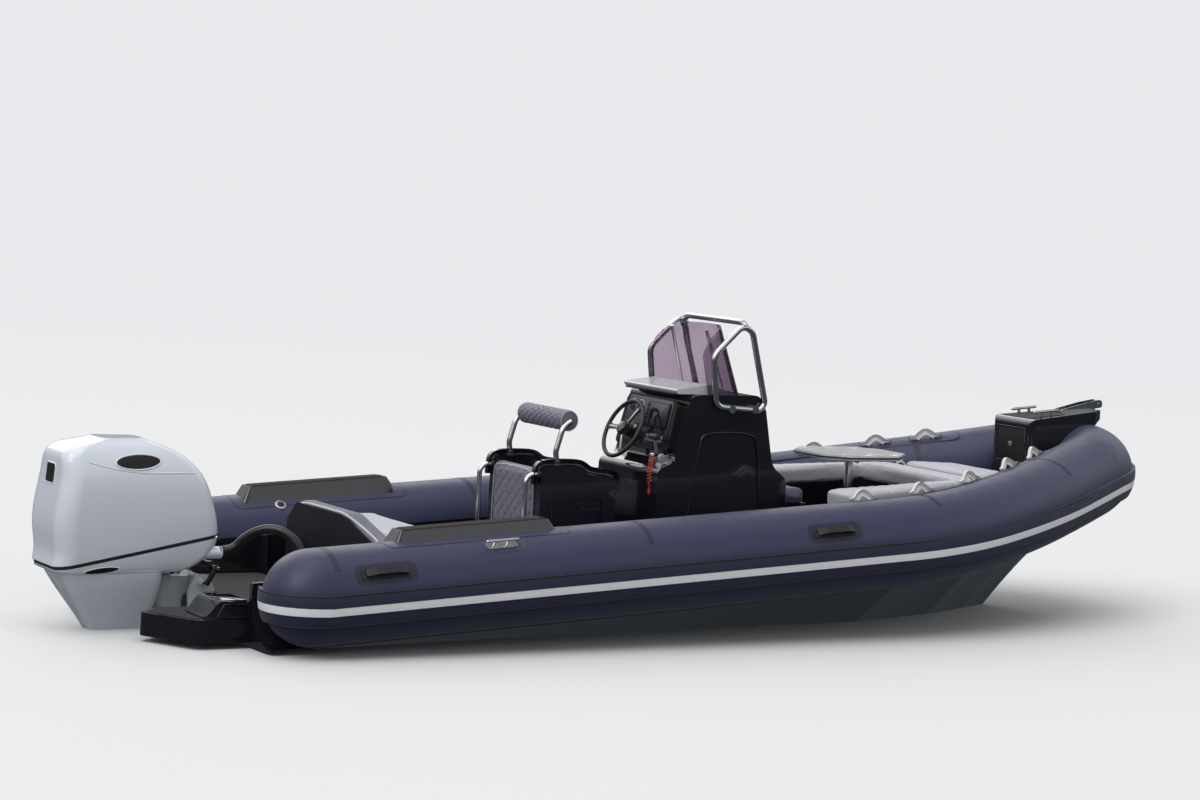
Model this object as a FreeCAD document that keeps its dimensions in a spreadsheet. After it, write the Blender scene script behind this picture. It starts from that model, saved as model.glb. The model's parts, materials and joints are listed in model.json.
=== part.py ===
import FreeCAD, Part
import math
import os

# Inflatable rib boat with centre console and one outboard, afloat and level.
# Origin: on the centreline, at the waterline, under the transom.
# +X forward, +Y to port, +Z up, millimetres.

V = FreeCAD.Vector
doc = FreeCAD.newDocument("RibBoat")
sheet = doc.addObject("Spreadsheet::Sheet", "Sizes")

sizeTable = (
    # alias, millimetres (degrees where the alias ends in Deg)
    ("seatGap", 0.3),
    ("runGap", 5),
    # Buoyancy tube
    ("tubeRadius", 272),
    ("tubeHalfSpacing", 1090),
    ("tubeSternHeight", 300),
    ("tubeRiseDeg", 3.8),
    ("tubeEndAt", 230),
    ("bowBendAt", 4020),
    ("bowCentreAt", 6355),
    ("bowHeight", 950),
    ("bowLeadAlong", 970),
    ("bowLeadAcross", 410),
    # Rub strake and its white insert
    ("strakeThick", 20),
    ("strakeUp", 45),
    ("strakeDown", 130),
    ("strakeWrapDeg", 125),
    ("stripeTop", 20),
    ("stripeWide", 45),
    # Hull
    ("keelDepth", 430),
    ("flangeWall", 35),
    ("flangeUnder", 10),
    ("chineInset", 150),
    ("chineDrop", 308),
    ("coamingRise", 60),
    ("bottomThick", 55),
    ("soleHeight", 150),
    ("soleThick", 12),
    ("cockpitAft", 760),
    ("cockpitFront", 5200),
    ("aftDeckHeight", 180),
    ("aftPadThick", 8),
    ("foredeckHeight", 800),
    ("foredeckEnd", 6100),
    ("transomBoardThick", 55),
    ("transomBoardHalf", 190),
    ("transomTop", 215),
    # Swim platforms
    ("platformLong", 360),
    ("platformInner", 340),
    ("platformInset", 250),
    ("platformReach", 530),
    ("platformReachAt", 490),
    ("platformTop", 165),
    ("platformDeep", 130),
    ("platformCorner", 70),
    ("lockerInner", 520),
    ("lockerAft", 270),
    ("lockerTall", 100),
    # Step pads on the tube
    ("padAft", 770),
    ("padLong", 940),
    ("padHalf", 64),
    ("padOffset", 42),
    ("padRise", 60),
    ("padFlare", 75),
    # Cleats
    ("cleatLong", 210),
    ("cleatBar", 18),
    ("cleatLeg", 20),
    ("cleatTall", 36),
    ("sideCleatX", 1330),
    # Handles and webbing straps
    ("handleLong", 265),
    ("handleTall", 66),
    ("handleProud", 42),
    ("strapWide", 40),
    ("strapLong", 190),
    ("strapTall", 42),
    ("strapThick", 5),
    # Aft bench
    ("benchAft", 950),
    ("benchDeep", 430),
    ("benchPort", 500),
    ("benchSideGap", 38),
    ("backSlopeLong", 470),
    ("benchTop", 470),
    ("benchWall", 25),
    ("benchLidThick", 20),
    ("benchCushion", 90),
    ("backAt", 790),
    ("backPanelThick", 30),
    ("backTop", 690),
    ("backCushion", 95),
    # Helm seat
    ("helmGap", 270),
    ("helmLong", 520),
    ("helmHalf", 325),
    ("helmSideThick", 62),
    ("helmSideTop", 955),
    ("helmPodTall", 558),
    ("helmRecess", 10),
    ("helmCushion", 110),
    ("helmBackThick", 90),
    ("helmBackWide", 520),
    ("railTube", 34),
    ("railBaseIn", 120),
    ("railSpacing", 295),
    ("rollRadius", 66),
    ("rollLong", 550),
    ("rollIn", 202),
    ("rollZ", 1225),
    ("grabTube", 30),
    # Console
    ("consoleWide", 720),
    ("consoleWall", 20),
    ("consoleAft", 2850),
    ("dashLean", 210),
    ("consoleTopLong", 500),
    ("consoleNose", 230),
    ("consoleTop", 1400),
    ("shelfHeight", 940),
    ("consoleSideRecess", 8),
    ("hoodWide", 640),
    ("seatBoxLong", 230),
    ("seatBoxHalf", 270),
    ("seatBoxTop", 700),
    ("seatLidThick", 18),
    ("seatCushion", 85),
    ("dashThick", 45),
    ("screenThick", 6),
    ("screenTall", 420),
    ("screenRake", 140),
    ("frameTube", 38),
    ("wheelRadius", 200),
    ("wheelRim", 26),
    ("wheelY", 80),
    ("wheelAbove", 210),
    ("wheelTiltDeg", 25),
    ("wheelShaft", 10),
    ("throttleY", -250),
    # Table
    ("tableX", 4510),
    ("tableLong", 660),
    ("tableWide", 600),
    ("tableTop", 1020),
    ("tableThick", 32),
    ("tableCut", 150),
    ("tablePost", 60),
    ("cupRadius", 40),
    ("cupDeep", 14),
    # Bow lounge
    ("loungeAft", 3980),
    ("loungeBenchWide", 300),
    ("loungeWell", 4960),
    ("loungeAftTop", 730),
    ("loungeCushion", 100),
    ("bowCushionThick", 90),
    ("bowLidAft", 5230),
    ("bowLidFront", 5610),
    ("bowLidHalf", 210),
    ("bowLidThick", 18),
    ("bowLockerFloor", 420),
    ("lockerLip", 28),
    # Bow box and anchor roller
    ("bowBoxAft", 5800),
    ("bowBoxFront", 6490),
    ("bowBoxHalfAft", 215),
    ("bowBoxHalfFront", 120),
    ("bowBoxTopAft", 1250),
    ("bowBoxTopFront", 1315),
    ("rollerChannelAft", 6180),
    ("rollerChannelHalf", 42),
    ("rollerChannelTall", 62),
    ("rollerX", 6500),
    ("rollerRadius", 30),
    ("rollerLong", 62),
    # Outboard
    ("tiltX", -20),
    ("tiltZ", 272),
    ("tiltTubeRadius", 19),
    ("steerX", -200),
    ("clampHalf", 165),
    ("clampThick", 32),
    ("swivelHalf", 95),
    ("steerTubeRadius", 48),
    ("steerPinRadius", 22),
    ("steerTubeFoot", -190),
    ("steerTubeTop", 300),
    ("cowlWall", 9),
    ("cowlFoot", 335),
    ("splitAft", 362),
    ("splitFront", 532),
    ("sealTall", 22),
    ("sealInset", 7),
    ("powerAft", -740),
    ("powerLong", 496),
    ("powerWide", 346),
    ("powerTall", 456),
    ("powerFoot", 440),
    ("plinthHalf", 120),
    ("ventPlateZ", -410),
    ("propZ", -600),
    ("propX", -905),
    ("propRadius", 190),
    ("propHub", 48),
    ("propLong", 120),
    ("gearRadius", 62),
    ("hoseRadius", 27),
    ("hoseY", -150),
    ("hoseZ", 440),
    ("hoseGland", 46),
    ("hoseGlandTall", 30),
)
for row, (alias, number) in enumerate(sizeTable, start=1):
    sheet.set("A%d" % row, alias)
    sheet.set("B%d" % row, str(number))
    sheet.setAlias("B%d" % row, alias)
doc.recompute()


class Sizes:
    """Reads a named size from the sheet."""

    def __getattr__(self, alias):
        return float(sheet.get(alias))


dim = Sizes()
nodeObjects = []


def keep(name, obj):
    """Gives a finished sub-part its own label and notes it for export."""
    obj.Label = name
    nodeObjects.append((name, obj))
    return obj


def feature(name, shape):
    """A sub-part whose shape comes from Part's own functions."""
    obj = doc.addObject("Part::Feature", name)
    obj.Shape = shape
    return keep(name, obj)


def outlineParts(points):
    """Lines and tangent arcs of a closed outline of (u, v, corner radius)."""
    corners = []
    count = len(points)
    for i in range(count):
        here = V(points[i][0], points[i][1], 0)
        before = V(points[i - 1][0], points[i - 1][1], 0)
        after = V(points[(i + 1) % count][0], points[(i + 1) % count][1], 0)
        radius = points[i][2] if len(points[i]) > 2 else 0
        if radius <= 0:
            corners.append((here, None, here))
            continue
        toBefore = (before - here).normalize()
        toAfter = (after - here).normalize()
        half = toBefore.getAngle(toAfter) / 2
        reach = radius / math.tan(half)
        bisector = (toBefore + toAfter).normalize()
        centre = here + bisector * (radius / math.sin(half))
        corners.append((here + toBefore * reach, centre - bisector * radius, here + toAfter * reach))
    parts = []
    for i in range(count):
        start, mid, end = corners[i]
        if mid is not None:
            parts.append(("arc", start, mid, end))
        following = corners[(i + 1) % count][0]
        if (following - end).Length > 1e-6:
            parts.append(("line", end, None, following))
    return parts


def outlineEdges(points, place=None):
    """The outline as edges in the XY plane, or moved by a placement."""
    edges = []
    for kind, start, mid, end in outlineParts(points):
        if kind == "arc":
            edges.append(Part.Arc(start, mid, end).toShape())
        else:
            edges.append(Part.LineSegment(start, end).toShape())
    wire = Part.Wire(Part.__sortEdges__(edges))
    if place is not None:
        wire.Placement = place
    return wire


def originPlane(body, role):
    """One of a body's own origin planes."""
    for item in body.Origin.OriginFeatures:
        if item.Role == role:
            return item


def outlineSketch(body, name, plane, offset, points):
    """A sketch of an outline on one of the body's own planes."""
    sketch = body.newObject("Sketcher::SketchObject", name)
    sketch.AttachmentSupport = [(originPlane(body, plane), "")]
    sketch.MapMode = "FlatFace"
    sketch.AttachmentOffset = FreeCAD.Placement(V(0, 0, offset), FreeCAD.Rotation())
    for kind, start, mid, end in outlineParts(points):
        if kind == "line":
            sketch.addGeometry(Part.LineSegment(start, end), False)
            continue
        circle = Part.Arc(start, mid, end).toShape().Curve
        centre = circle.Center
        first = math.atan2(start.y - centre.y, start.x - centre.x)
        last = math.atan2(end.y - centre.y, end.x - centre.x)
        turn = (mid - start).cross(end - mid).z
        if turn < 0:
            first, last = last, first
        if last < first:
            last += 2 * math.pi
        flat = Part.Circle(centre, V(0, 0, 1), circle.Radius)
        sketch.addGeometry(Part.ArcOfCircle(flat, first, last), False)
    return sketch


def slab(name, plane, points, low, thick):
    """A body padded from an outline: plane role, low side, alias of its thickness."""
    body = doc.addObject("PartDesign::Body", name)
    doc.recompute()
    depth = getattr(dim, thick)
    offset = -(low + depth) if plane == "XZ_Plane" else low
    sketch = outlineSketch(body, name + "Outline", plane, offset, points)
    pad = body.newObject("PartDesign::Pad", name + "Pad")
    pad.Profile = sketch
    pad.setExpression("Length", "Sizes." + thick)
    body.Tip = pad
    doc.recompute()
    return body


def pocket(body, plane, points, low, thick):
    """Cuts a pocket between low and low + the size named by thick."""
    depth = getattr(dim, thick)
    offset = -low if plane == "XZ_Plane" else low + depth
    name = body.Name + "Cut%d" % len(body.Group)
    sketch = outlineSketch(body, name + "Outline", plane, offset, points)
    before = body.Shape.Volume
    cut = body.newObject("PartDesign::Pocket", name)
    cut.Profile = sketch
    cut.setExpression("Length", "Sizes." + thick)
    body.Tip = cut
    doc.recompute()
    if body.Shape.Volume > before - 1:
        raise ValueError("pocket cuts nothing in " + body.Name)
    return cut


def roundEdges(body, radius, chosen):
    """Fillets the edges of the body's tip for which chosen(edge) is true."""
    tip = body.Tip
    names = []
    for number, edge in enumerate(tip.Shape.Edges, start=1):
        if chosen(edge):
            names.append("Edge%d" % number)
    fillet = body.newObject("PartDesign::Fillet", body.Name + "Round%d" % len(body.Group))
    fillet.Base = (tip, names)
    fillet.Radius = radius
    body.Tip = fillet
    doc.recompute()


def levelEdges(height):
    """Chooses the edges that lie at one height."""
    def chosen(edge):
        box = edge.BoundBox
        return abs(box.ZMin - height) < 0.01 and abs(box.ZMax - height) < 0.01
    return chosen


def prism(points, place, depth):
    """A solid from an outline in a placement's own XY plane, along its Z."""
    face = Part.Face(outlineEdges(points, place))
    return face.extrude(place.Rotation.multVec(V(0, 0, depth)))


def sidePrism(points, low, width):
    """A solid from a side-view outline (x, z), from y = low to y = low + width."""
    place = FreeCAD.Placement(V(0, low + width, 0), FreeCAD.Rotation(V(1, 0, 0), 90))
    return prism(points, place, width)


def planPrism(points, low, height):
    """A solid from a plan outline (x, y), from z = low upwards."""
    return prism(points, FreeCAD.Placement(V(0, 0, low), FreeCAD.Rotation()), height)


def rect(u0, u1, v0, v1, radius=0):
    """A rectangle's four corners."""
    return ((u0, v0, radius), (u1, v0, radius), (u1, v1, radius), (u0, v1, radius))


def pathThrough(points, radii):
    """A wire of straight runs joined by tangent arcs, one radius for each inner point."""
    edges = []
    start = points[0]
    for i in range(1, len(points) - 1):
        here = points[i]
        toBefore = (points[i - 1] - here).normalize()
        toAfter = (points[i + 1] - here).normalize()
        half = toBefore.getAngle(toAfter) / 2
        reach = radii[i - 1] / math.tan(half)
        bisector = (toBefore + toAfter).normalize()
        centre = here + bisector * (radii[i - 1] / math.sin(half))
        first = here + toBefore * reach
        last = here + toAfter * reach
        if (first - start).Length > 1e-6:
            edges.append(Part.LineSegment(start, first).toShape())
        edges.append(Part.Arc(first, centre - bisector * radii[i - 1], last).toShape())
        start = last
    if (points[-1] - start).Length > 1e-6:
        edges.append(Part.LineSegment(start, points[-1]).toShape())
    return Part.Wire(edges)


def pipe(path, radius):
    """A round bar along a wire."""
    first = path.OrderedEdges[0]
    start = first.valueAt(first.FirstParameter)
    along = first.tangentAt(first.FirstParameter)
    if (path.OrderedVertexes[0].Point - start).Length > 1e-3:
        start = first.valueAt(first.LastParameter)
        along = first.tangentAt(first.LastParameter) * -1
    ring = Part.Wire(Part.Circle(start, along, radius).toShape())
    solid = path.makePipeShell([ring], True, False)
    return solid


def rod(start, end, radius):
    """A round bar between two points."""
    along = end - start
    return Part.makeCylinder(radius, along.Length, start, along)


def bore(middle, along, radius, reach=1000):
    """A long bar through a point, for cutting a bore."""
    return Part.makeCylinder(radius, 2 * reach, middle - along * reach, along)


def mirrored(shape):
    """The same shape on the other side of the centreline."""
    return shape.mirror(V(0, 0, 0), V(0, 1, 0))


# Buoyancy tube: a straight run each side, then one smooth curve that rises to the bow.
slope = math.tan(math.radians(dim.tubeRiseDeg))


def runHeight(x):
    """Height of the tube's centre along its straight run."""
    return dim.tubeSternHeight + x * slope


def bowCurve(side):
    """The curve from the straight run to the bow's centre, square to the centreline there."""
    start = V(dim.bowBendAt, side * dim.tubeHalfSpacing, runHeight(dim.bowBendAt))
    end = V(dim.bowCentreAt, 0, dim.bowHeight)
    along = V(1, 0, slope).normalize()
    curve = Part.BezierCurve()
    curve.setPoles([start, start + along * dim.bowLeadAlong, end + V(0, side * dim.bowLeadAcross, 0), end])
    return curve


def arcPair(start, startAlong, end, endAlong):
    """Two arcs that leave start along startAlong, meet smoothly and reach end along endAlong."""
    gap = end - start
    both = gap.dot(startAlong + endAlong)
    spread = 2 - 2 * startAlong.dot(endAlong)
    reach = (math.sqrt(both * both + spread * gap.dot(gap)) - both) / spread
    firstCorner = start + startAlong * reach
    lastCorner = end - endAlong * reach
    middle = (firstCorner + lastCorner) / 2
    return [Part.Arc(start, arcMiddle(start, firstCorner, middle), middle).toShape(),
            Part.Arc(middle, arcMiddle(middle, lastCorner, end), end).toShape()]


def arcMiddle(start, corner, end):
    """Middle point of the arc that touches start-corner and corner-end."""
    chordMiddle = (start + end) / 2
    half = (corner - start).getAngle(end - start)
    toCorner = (corner - chordMiddle).normalize()
    return chordMiddle + toCorner * ((end - start).Length / 2 * math.tan(half / 2))


def tubePath(side, sternX):
    """Centre line of one side's tube, from the stern to the bow: a straight run and four arcs."""
    curve = bowCurve(side)
    stern = V(sternX, side * dim.tubeHalfSpacing, runHeight(sternX))
    path = [Part.LineSegment(stern, curve.StartPoint).toShape()]
    for first, last in ((0.0, 0.5), (0.5, 1.0)):
        path += arcPair(curve.value(first), curve.tangent(first)[0], curve.value(last),
            curve.tangent(last)[0])
    return path


def tubeCentre(x):
    """Half spacing and height of the tube's centre line at a station x."""
    if x <= dim.bowBendAt:
        return V(x, dim.tubeHalfSpacing, runHeight(x))
    for edge in bowArcs:
        low, high = edge.FirstParameter, edge.LastParameter
        if edge.valueAt(high).x < x and edge.valueAt(low).x < x:
            continue
        rising = edge.valueAt(high).x > edge.valueAt(low).x
        for step in range(40):
            middle = (low + high) / 2
            if (edge.valueAt(middle).x < x) == rising:
                low = middle
            else:
                high = middle
        return edge.valueAt((low + high) / 2)
    return V(dim.bowCentreAt, 0, dim.bowHeight)


bowArcs = tubePath(1, 0)[1:]


def tubeSide(side, radius, sternX):
    """One half of the tube as a round bar, from sternX to the bow's centre."""
    return pipe(Part.Wire(tubePath(side, sternX)), radius)


def tubeEnvelope(grow):
    """The whole tube with its two stern domes, grown by a gap."""
    radius = dim.tubeRadius + grow
    parts = []
    for side in (1, -1):
        parts.append(tubeSide(side, radius, dim.tubeEndAt))
        centre = V(dim.tubeEndAt, side * dim.tubeHalfSpacing, runHeight(dim.tubeEndAt))
        parts.append(Part.makeSphere(radius, centre, V(-1, 0, -slope), 0, 90, 360))
    return parts[0].multiFuse(parts[1:])


tubeShape = tubeEnvelope(0)
tubeSeat = tubeEnvelope(dim.seatGap)
feature("buoyancy_tube", tubeShape)


# Rub strake: a band round the tube's outer side, with a white insert.
def tubeBand(top, bottom):
    """Everything outboard of the tube between two heights above its centre line, round to the dome."""
    low, high = dim.tubeHalfSpacing + 90, dim.tubeHalfSpacing + dim.tubeRadius + 100
    x = dim.tubeEndAt
    z = runHeight(x)
    section = Part.makePolygon([
        V(x, low, z + bottom), V(x, high, z + bottom), V(x, high, z + top), V(x, low, z + top),
        V(x, low, z + bottom)])
    sweep = Part.BRepOffsetAPI.MakePipeShell(Part.Wire(tubePath(1, x)))
    sweep.setBiNormalMode(V(0, 0, 1))
    sweep.add(section)
    sweep.build()
    sweep.makeSolid()
    side = sweep.shape()
    dome = Part.Face(section).revolve(V(x, dim.tubeHalfSpacing, z), V(0, 0, 1), dim.strakeWrapDeg)
    side = side.fuse(dome)
    return side.fuse(mirrored(side))


strakeShell = tubeEnvelope(dim.strakeThick).cut(tubeSeat)
stripe = strakeShell.common(tubeBand(-dim.stripeTop, -dim.stripeTop - dim.stripeWide))
strake = strakeShell.common(tubeBand(dim.strakeUp, -dim.strakeDown))
feature("rub_strake", strake.cut(stripe))
feature("strake_stripe", stripe)


# Hull: a deep vee solid up to the tube's seat, with the cockpit let into it.
keelLine = (
    # station x, keel z as a share of the keel's depth (1 is full depth)
    (0, 1.0),
    (2200, 1.0),
    (4250, 0.93),
    (4950, 0.66),
    (5350, 0.33),
    (5658, 0.0),
    (5960, -0.74),
    (6110, -1.30),
)


def hullSection(x, share, extra=0):
    """Hull's cross-section at a station, out to the flange under the tube, with its top raised by extra."""
    tube = tubeCentre(x)
    keel = -dim.keelDepth * share
    chineY = max(tube.y - dim.chineInset, 40)
    chineZ = max(tube.z - dim.chineDrop, keel + 30)
    outerY = tube.y + dim.flangeUnder
    lowZ = tube.z - dim.tubeRadius - dim.flangeUnder
    half = (
        (chineY, chineZ),
        (outerY, lowZ),
        (outerY, tube.z),
        (tube.y, tube.z + dim.coamingRise + extra),
    )
    points = [V(x, 0, keel)]
    points += [V(x, y, z) for y, z in half]
    points += [V(x, -y, z) for y, z in reversed(half)]
    return Part.makePolygon(points + points[:1])


def innerHalf(x):
    """Half width of the cockpit at a station, inside the tube and its flange."""
    here = tubeCentre(x)
    ahead = tubeCentre(x + 10)
    slant = math.hypot(1, (ahead.y - here.y) / 10)
    return here.y - (dim.tubeRadius + dim.flangeWall) * slant


def cockpitOutline(aft, front, gap=0):
    """Plan of the cockpit between two stations, following the tube."""
    side = [(aft, innerHalf(aft) - gap, 60)]
    for x, radius in bowStations:
        if aft + 60 < x < front - 100:
            side.append((x, innerHalf(x) - gap, radius))
    side.append((front, innerHalf(front) - gap, 50))
    return tuple(side + [(x, -y, r) for x, y, r in reversed(side)])


bowStations = ((dim.loungeAft, 300), (4420, 1400), (4860, 900), (5200, 700), (5560, 300), (5800, 120))
hullLoft = Part.makeLoft([hullSection(x, share) for x, share in keelLine], True, True)
hullShape = hullLoft
for side in (1, -1):
    hullShape = hullShape.cut(tubeSide(side, dim.tubeRadius + dim.seatGap, -400))
deepEnough = 2000
abovePanels = Part.makeLoft([hullSection(x, share, 600) for x, share in keelLine], True, True)
abovePanels.translate(V(0, 0, dim.bottomThick))
aboveSole = abovePanels.translated(V(0, 0, dim.runGap))
hullShape = hullShape.cut(planPrism(
    rect(-10, dim.cockpitAft, -innerHalf(0), innerHalf(0)), dim.aftDeckHeight, deepEnough))
hullShape = hullShape.cut(planPrism(
    cockpitOutline(dim.cockpitAft, dim.cockpitFront), dim.soleHeight, deepEnough).common(abovePanels))
hullShape = hullShape.cut(planPrism(
    cockpitOutline(dim.cockpitAft, dim.foredeckEnd), dim.foredeckHeight, deepEnough))
hullShape = hullShape.cut(planPrism(
    rect(dim.bowLidFront - 6, dim.foredeckEnd + 50, -370, 370), dim.foredeckHeight, deepEnough))
hullShape = hullShape.cut(planPrism(
    rect(dim.bowLidAft + dim.lockerLip, dim.bowLidFront - dim.lockerLip,
         -dim.bowLidHalf + dim.lockerLip, dim.bowLidHalf - dim.lockerLip, 30), dim.bowLockerFloor,
         deepEnough))
hullShape = hullShape.fuse(Part.makeBox(
    dim.transomBoardThick, 2 * dim.transomBoardHalf, dim.transomTop - dim.aftDeckHeight,
    V(0, -dim.transomBoardHalf, dim.aftDeckHeight))).removeSplitter()
feature("hull", hullShape)

solePlan = cockpitOutline(dim.cockpitAft + dim.runGap, dim.cockpitFront - dim.runGap, dim.runGap)
soleShape = planPrism(solePlan, dim.soleHeight, dim.soleThick)
feature("cockpit_sole", soleShape.common(aboveSole))
soleTop = dim.soleHeight + dim.soleThick
aftPad = slab("aft_deck_pad", "XY_Plane",
              rect(dim.transomBoardThick + 30, dim.cockpitAft - 30, -innerHalf(0) + 40, innerHalf(0) - 40,
              50),
              dim.aftDeckHeight, "aftPadThick")
keep("aft_deck_pad", aftPad)

# Swim platforms, one each side of the outboard, with a raised locker block.
platformOuter = dim.tubeHalfSpacing - dim.platformInset
platformPlan = (
    (0, dim.platformInner, 0),
    (-dim.platformLong, dim.platformInner, 40),
    (-dim.platformReach, dim.platformReachAt, 45),
    (-dim.platformLong + 25, platformOuter + 15, dim.platformCorner),
    (0, platformOuter, 0),
)
lockerPlan = (
    (0, dim.lockerInner, 0),
    (-dim.lockerAft, dim.lockerInner, 40),
    (-dim.lockerAft, platformOuter - 15, 60),
    (0, platformOuter - 20, 0),
)
lockerFoot = dim.platformTop - dim.seatGap
platformShape = planPrism(platformPlan, dim.platformTop - dim.platformDeep, dim.platformDeep)
lockerFace = Part.Face(outlineEdges(lockerPlan, FreeCAD.Placement(V(0, 0, lockerFoot), FreeCAD.Rotation())))
lockerShape = lockerFace.extrude(V(0, 0, dim.lockerTall))
slant = sidePrism(
    ((-dim.lockerAft - 10, dim.platformTop, 0), (-dim.lockerAft, dim.platformTop, 60),
     (-dim.lockerAft + 75, dim.platformTop + dim.lockerTall, 50),
     (30, dim.platformTop + dim.lockerTall - 12, 0), (30, lockerFoot - 20, 0),
     (-dim.lockerAft - 10, lockerFoot - 20, 0)),
    0, 2 * platformOuter)
platformShape = platformShape.fuse(lockerShape.common(slant)).removeSplitter()
feature("swim_platforms", Part.makeCompound([platformShape, mirrored(platformShape)]))


# What sits on the tube is placed by a station and an angle round the tube from its top.
def onTube(x, side, outwardDeg, lift=0):
    """A placement on the tube's skin: X along the boat, Z out of the tube."""
    centre = tubeCentre(x)
    ahead = tubeCentre(x + 5)
    along = (V(ahead.x, side * ahead.y, ahead.z) - V(centre.x, side * centre.y, centre.z)).normalize()
    outward = V(0, side, 0)
    outward = (outward - along * outward.dot(along)).normalize()
    up = along.cross(outward)
    if up.z < 0:
        up = up * -1
    turn = math.radians(outwardDeg)
    normal = up * math.cos(turn) + outward * math.sin(turn)
    across = normal.cross(along)
    base = V(centre.x, side * centre.y, centre.z) + normal * (dim.tubeRadius + lift)
    matrix = FreeCAD.Matrix(
        along.x, across.x, normal.x, base.x,
        along.y, across.y, normal.y, base.y,
        along.z, across.z, normal.z, base.z,
        0, 0, 0, 1)
    return FreeCAD.Placement(matrix)


def stepPad(side):
    """Moulded step pad: a flat tread on flared sides, cut to the tube."""
    centreX = dim.padAft + dim.padLong / 2
    place = onTube(centreX, side, 0)
    sections = []
    half = dim.padLong / 2
    for height, spread in ((dim.padRise, 0), (dim.padRise - 6, 4), (-60, dim.padFlare)):
        middle = -dim.padOffset * side
        corners = rect(-half - spread, half + spread, middle - dim.padHalf - spread * 0.55,
                       middle + dim.padHalf + spread * 0.55, 18 + spread / 3)
        ring = outlineEdges(corners, FreeCAD.Placement(V(0, 0, height), FreeCAD.Rotation()))
        sections.append(ring)
    block = Part.makeLoft(sections, True, True)
    block.Placement = place
    return block.cut(tubeSeat)


feature("step_pads", Part.makeCompound([stepPad(1), stepPad(-1)]))


def cleat(place, foot):
    """A deck cleat: two legs and a bar with rounded ends, standing on foot below the place."""
    radius = dim.cleatBar / 2
    legs = []
    for end in (-1, 1):
        legs.append(Part.makeCylinder(dim.cleatLeg / 2, dim.cleatTall + foot,
            V(end * dim.cleatLong / 5, 0, -foot)))
    bar = Part.makeCylinder(radius, dim.cleatLong - 2 * radius,
                            V(-dim.cleatLong / 2 + radius, 0, dim.cleatTall), V(1, 0, 0))
    tips = [Part.makeSphere(radius, V(end * (dim.cleatLong / 2 - radius), 0,
        dim.cleatTall)) for end in (-1, 1)]
    shape = bar.multiFuse(legs + tips).removeSplitter()
    shape.Placement = place
    return shape


def handle(x, side):
    """A moulded lifting handle: a patch on the tube with a bridge over it."""
    place = onTube(x, side, 58)
    half = dim.handleLong / 2
    tall = dim.handleTall / 2
    proud = dim.handleProud
    bridge = (
        (-half, -40, 0), (-half, proud * 0.45, 22), (-half + 60, proud, 24), (half - 60, proud, 24),
        (half, proud * 0.45, 22), (half, -40, 0), (half - 48, -40, 0), (half - 62, proud - 20, 16),
        (-half + 62, proud - 20, 16), (-half + 48, -40, 0),
    )
    turn = FreeCAD.Placement(V(0, tall * 0.62, 0), FreeCAD.Rotation(V(1, 0, 0), 90))
    shape = prism(bridge, turn, 2 * tall * 0.62)
    patch = prism(rect(-half - 20, half + 20, -tall, tall, 20),
                  FreeCAD.Placement(V(0, 0, -40), FreeCAD.Rotation()), 45)
    shape = shape.fuse(patch).removeSplitter()
    shape.Placement = place
    return shape.cut(tubeSeat)


def strap(x, side):
    """A flat webbing strap that stands off the tube as a low arch."""
    place = onTube(x, side, -16)
    half = dim.strapLong / 2
    top = dim.strapTall
    thick = dim.strapThick
    arch = (
        (-half, -25, 0), (-half, 4, 0), (-half + 42, 4, 14), (-half + 62, top, 34), (half - 62, top, 34),
        (half - 42, 4, 14), (half, 4, 0), (half, -25, 0), (half - 42 - thick, -25, 0),
        (half - 45 - thick, 4 - thick, 9), (half - 62 - thick, top - thick, 30),
        (-half + 62 + thick, top - thick, 30),
        (-half + 45 + thick, 4 - thick, 9), (-half + 42 + thick, -25, 0),
    )
    turn = FreeCAD.Placement(V(0, dim.strapWide / 2, 0), FreeCAD.Rotation(V(1, 0, 0), 90))
    shape = prism(arch, turn, dim.strapWide)
    shape.Placement = place
    return shape.cut(tubeSeat)


handleStations = (580, 3530)
strapStations = (3940, 4420, 4880, 5300, 5620)
feature("tube_handles", Part.makeCompound([handle(x, side) for side in (1, -1) for x in handleStations]))
feature("grab_straps", Part.makeCompound([strap(x, side) for side in (1, -1) for x in strapStations]))

# Aft bench: a locker with a lid that tips forward, and a backrest cut off over the starboard tube.
benchStarboard = innerHalf(dim.benchAft) - dim.benchSideGap
benchPlan = rect(dim.benchAft, dim.benchAft + dim.benchDeep, -benchStarboard, dim.benchPort, 40)
benchShape = planPrism(benchPlan, soleTop, dim.benchTop - soleTop)
benchInside = rect(dim.benchAft + dim.benchWall, dim.benchAft + dim.benchDeep - dim.benchWall,
                   -benchStarboard + dim.benchWall, dim.benchPort - dim.benchWall, 20)
benchShape = benchShape.cut(planPrism(benchInside, soleTop + dim.benchWall, deepEnough))
feature("bench_locker", benchShape)
benchLid = slab("bench_lid", "XY_Plane",
                rect(dim.benchAft + 2, dim.benchAft + dim.benchDeep - 2, -benchStarboard + 2,
                dim.benchPort - 2, 38),
                dim.benchTop + dim.seatGap, "benchLidThick")
keep("bench_lid", benchLid)
benchSeat = slab("bench_cushion", "XY_Plane",
                 rect(dim.benchAft + 8, dim.benchAft + dim.benchDeep - 4, -benchStarboard + 8,
                 dim.benchPort - 8, 45),
                 dim.benchTop + dim.benchLidThick + 2 * dim.seatGap, "benchCushion")
roundEdges(benchSeat, 25, levelEdges(dim.benchTop + dim.benchLidThick + 2 * dim.seatGap + dim.benchCushion))
keep("bench_cushion", benchSeat)
backOutline = (
    (-benchStarboard, soleTop, 0),
    (-benchStarboard, dim.backTop - 150, 30),
    (-benchStarboard + dim.backSlopeLong, dim.backTop - 25, 120),
    (dim.benchPort - 130, dim.backTop - 25, 60),
    (dim.benchPort, dim.backTop - 140, 60),
    (dim.benchPort, soleTop, 0),
)
backPanel = slab("bench_back_panel", "YZ_Plane", backOutline, dim.backAt, "backPanelThick")
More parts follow.
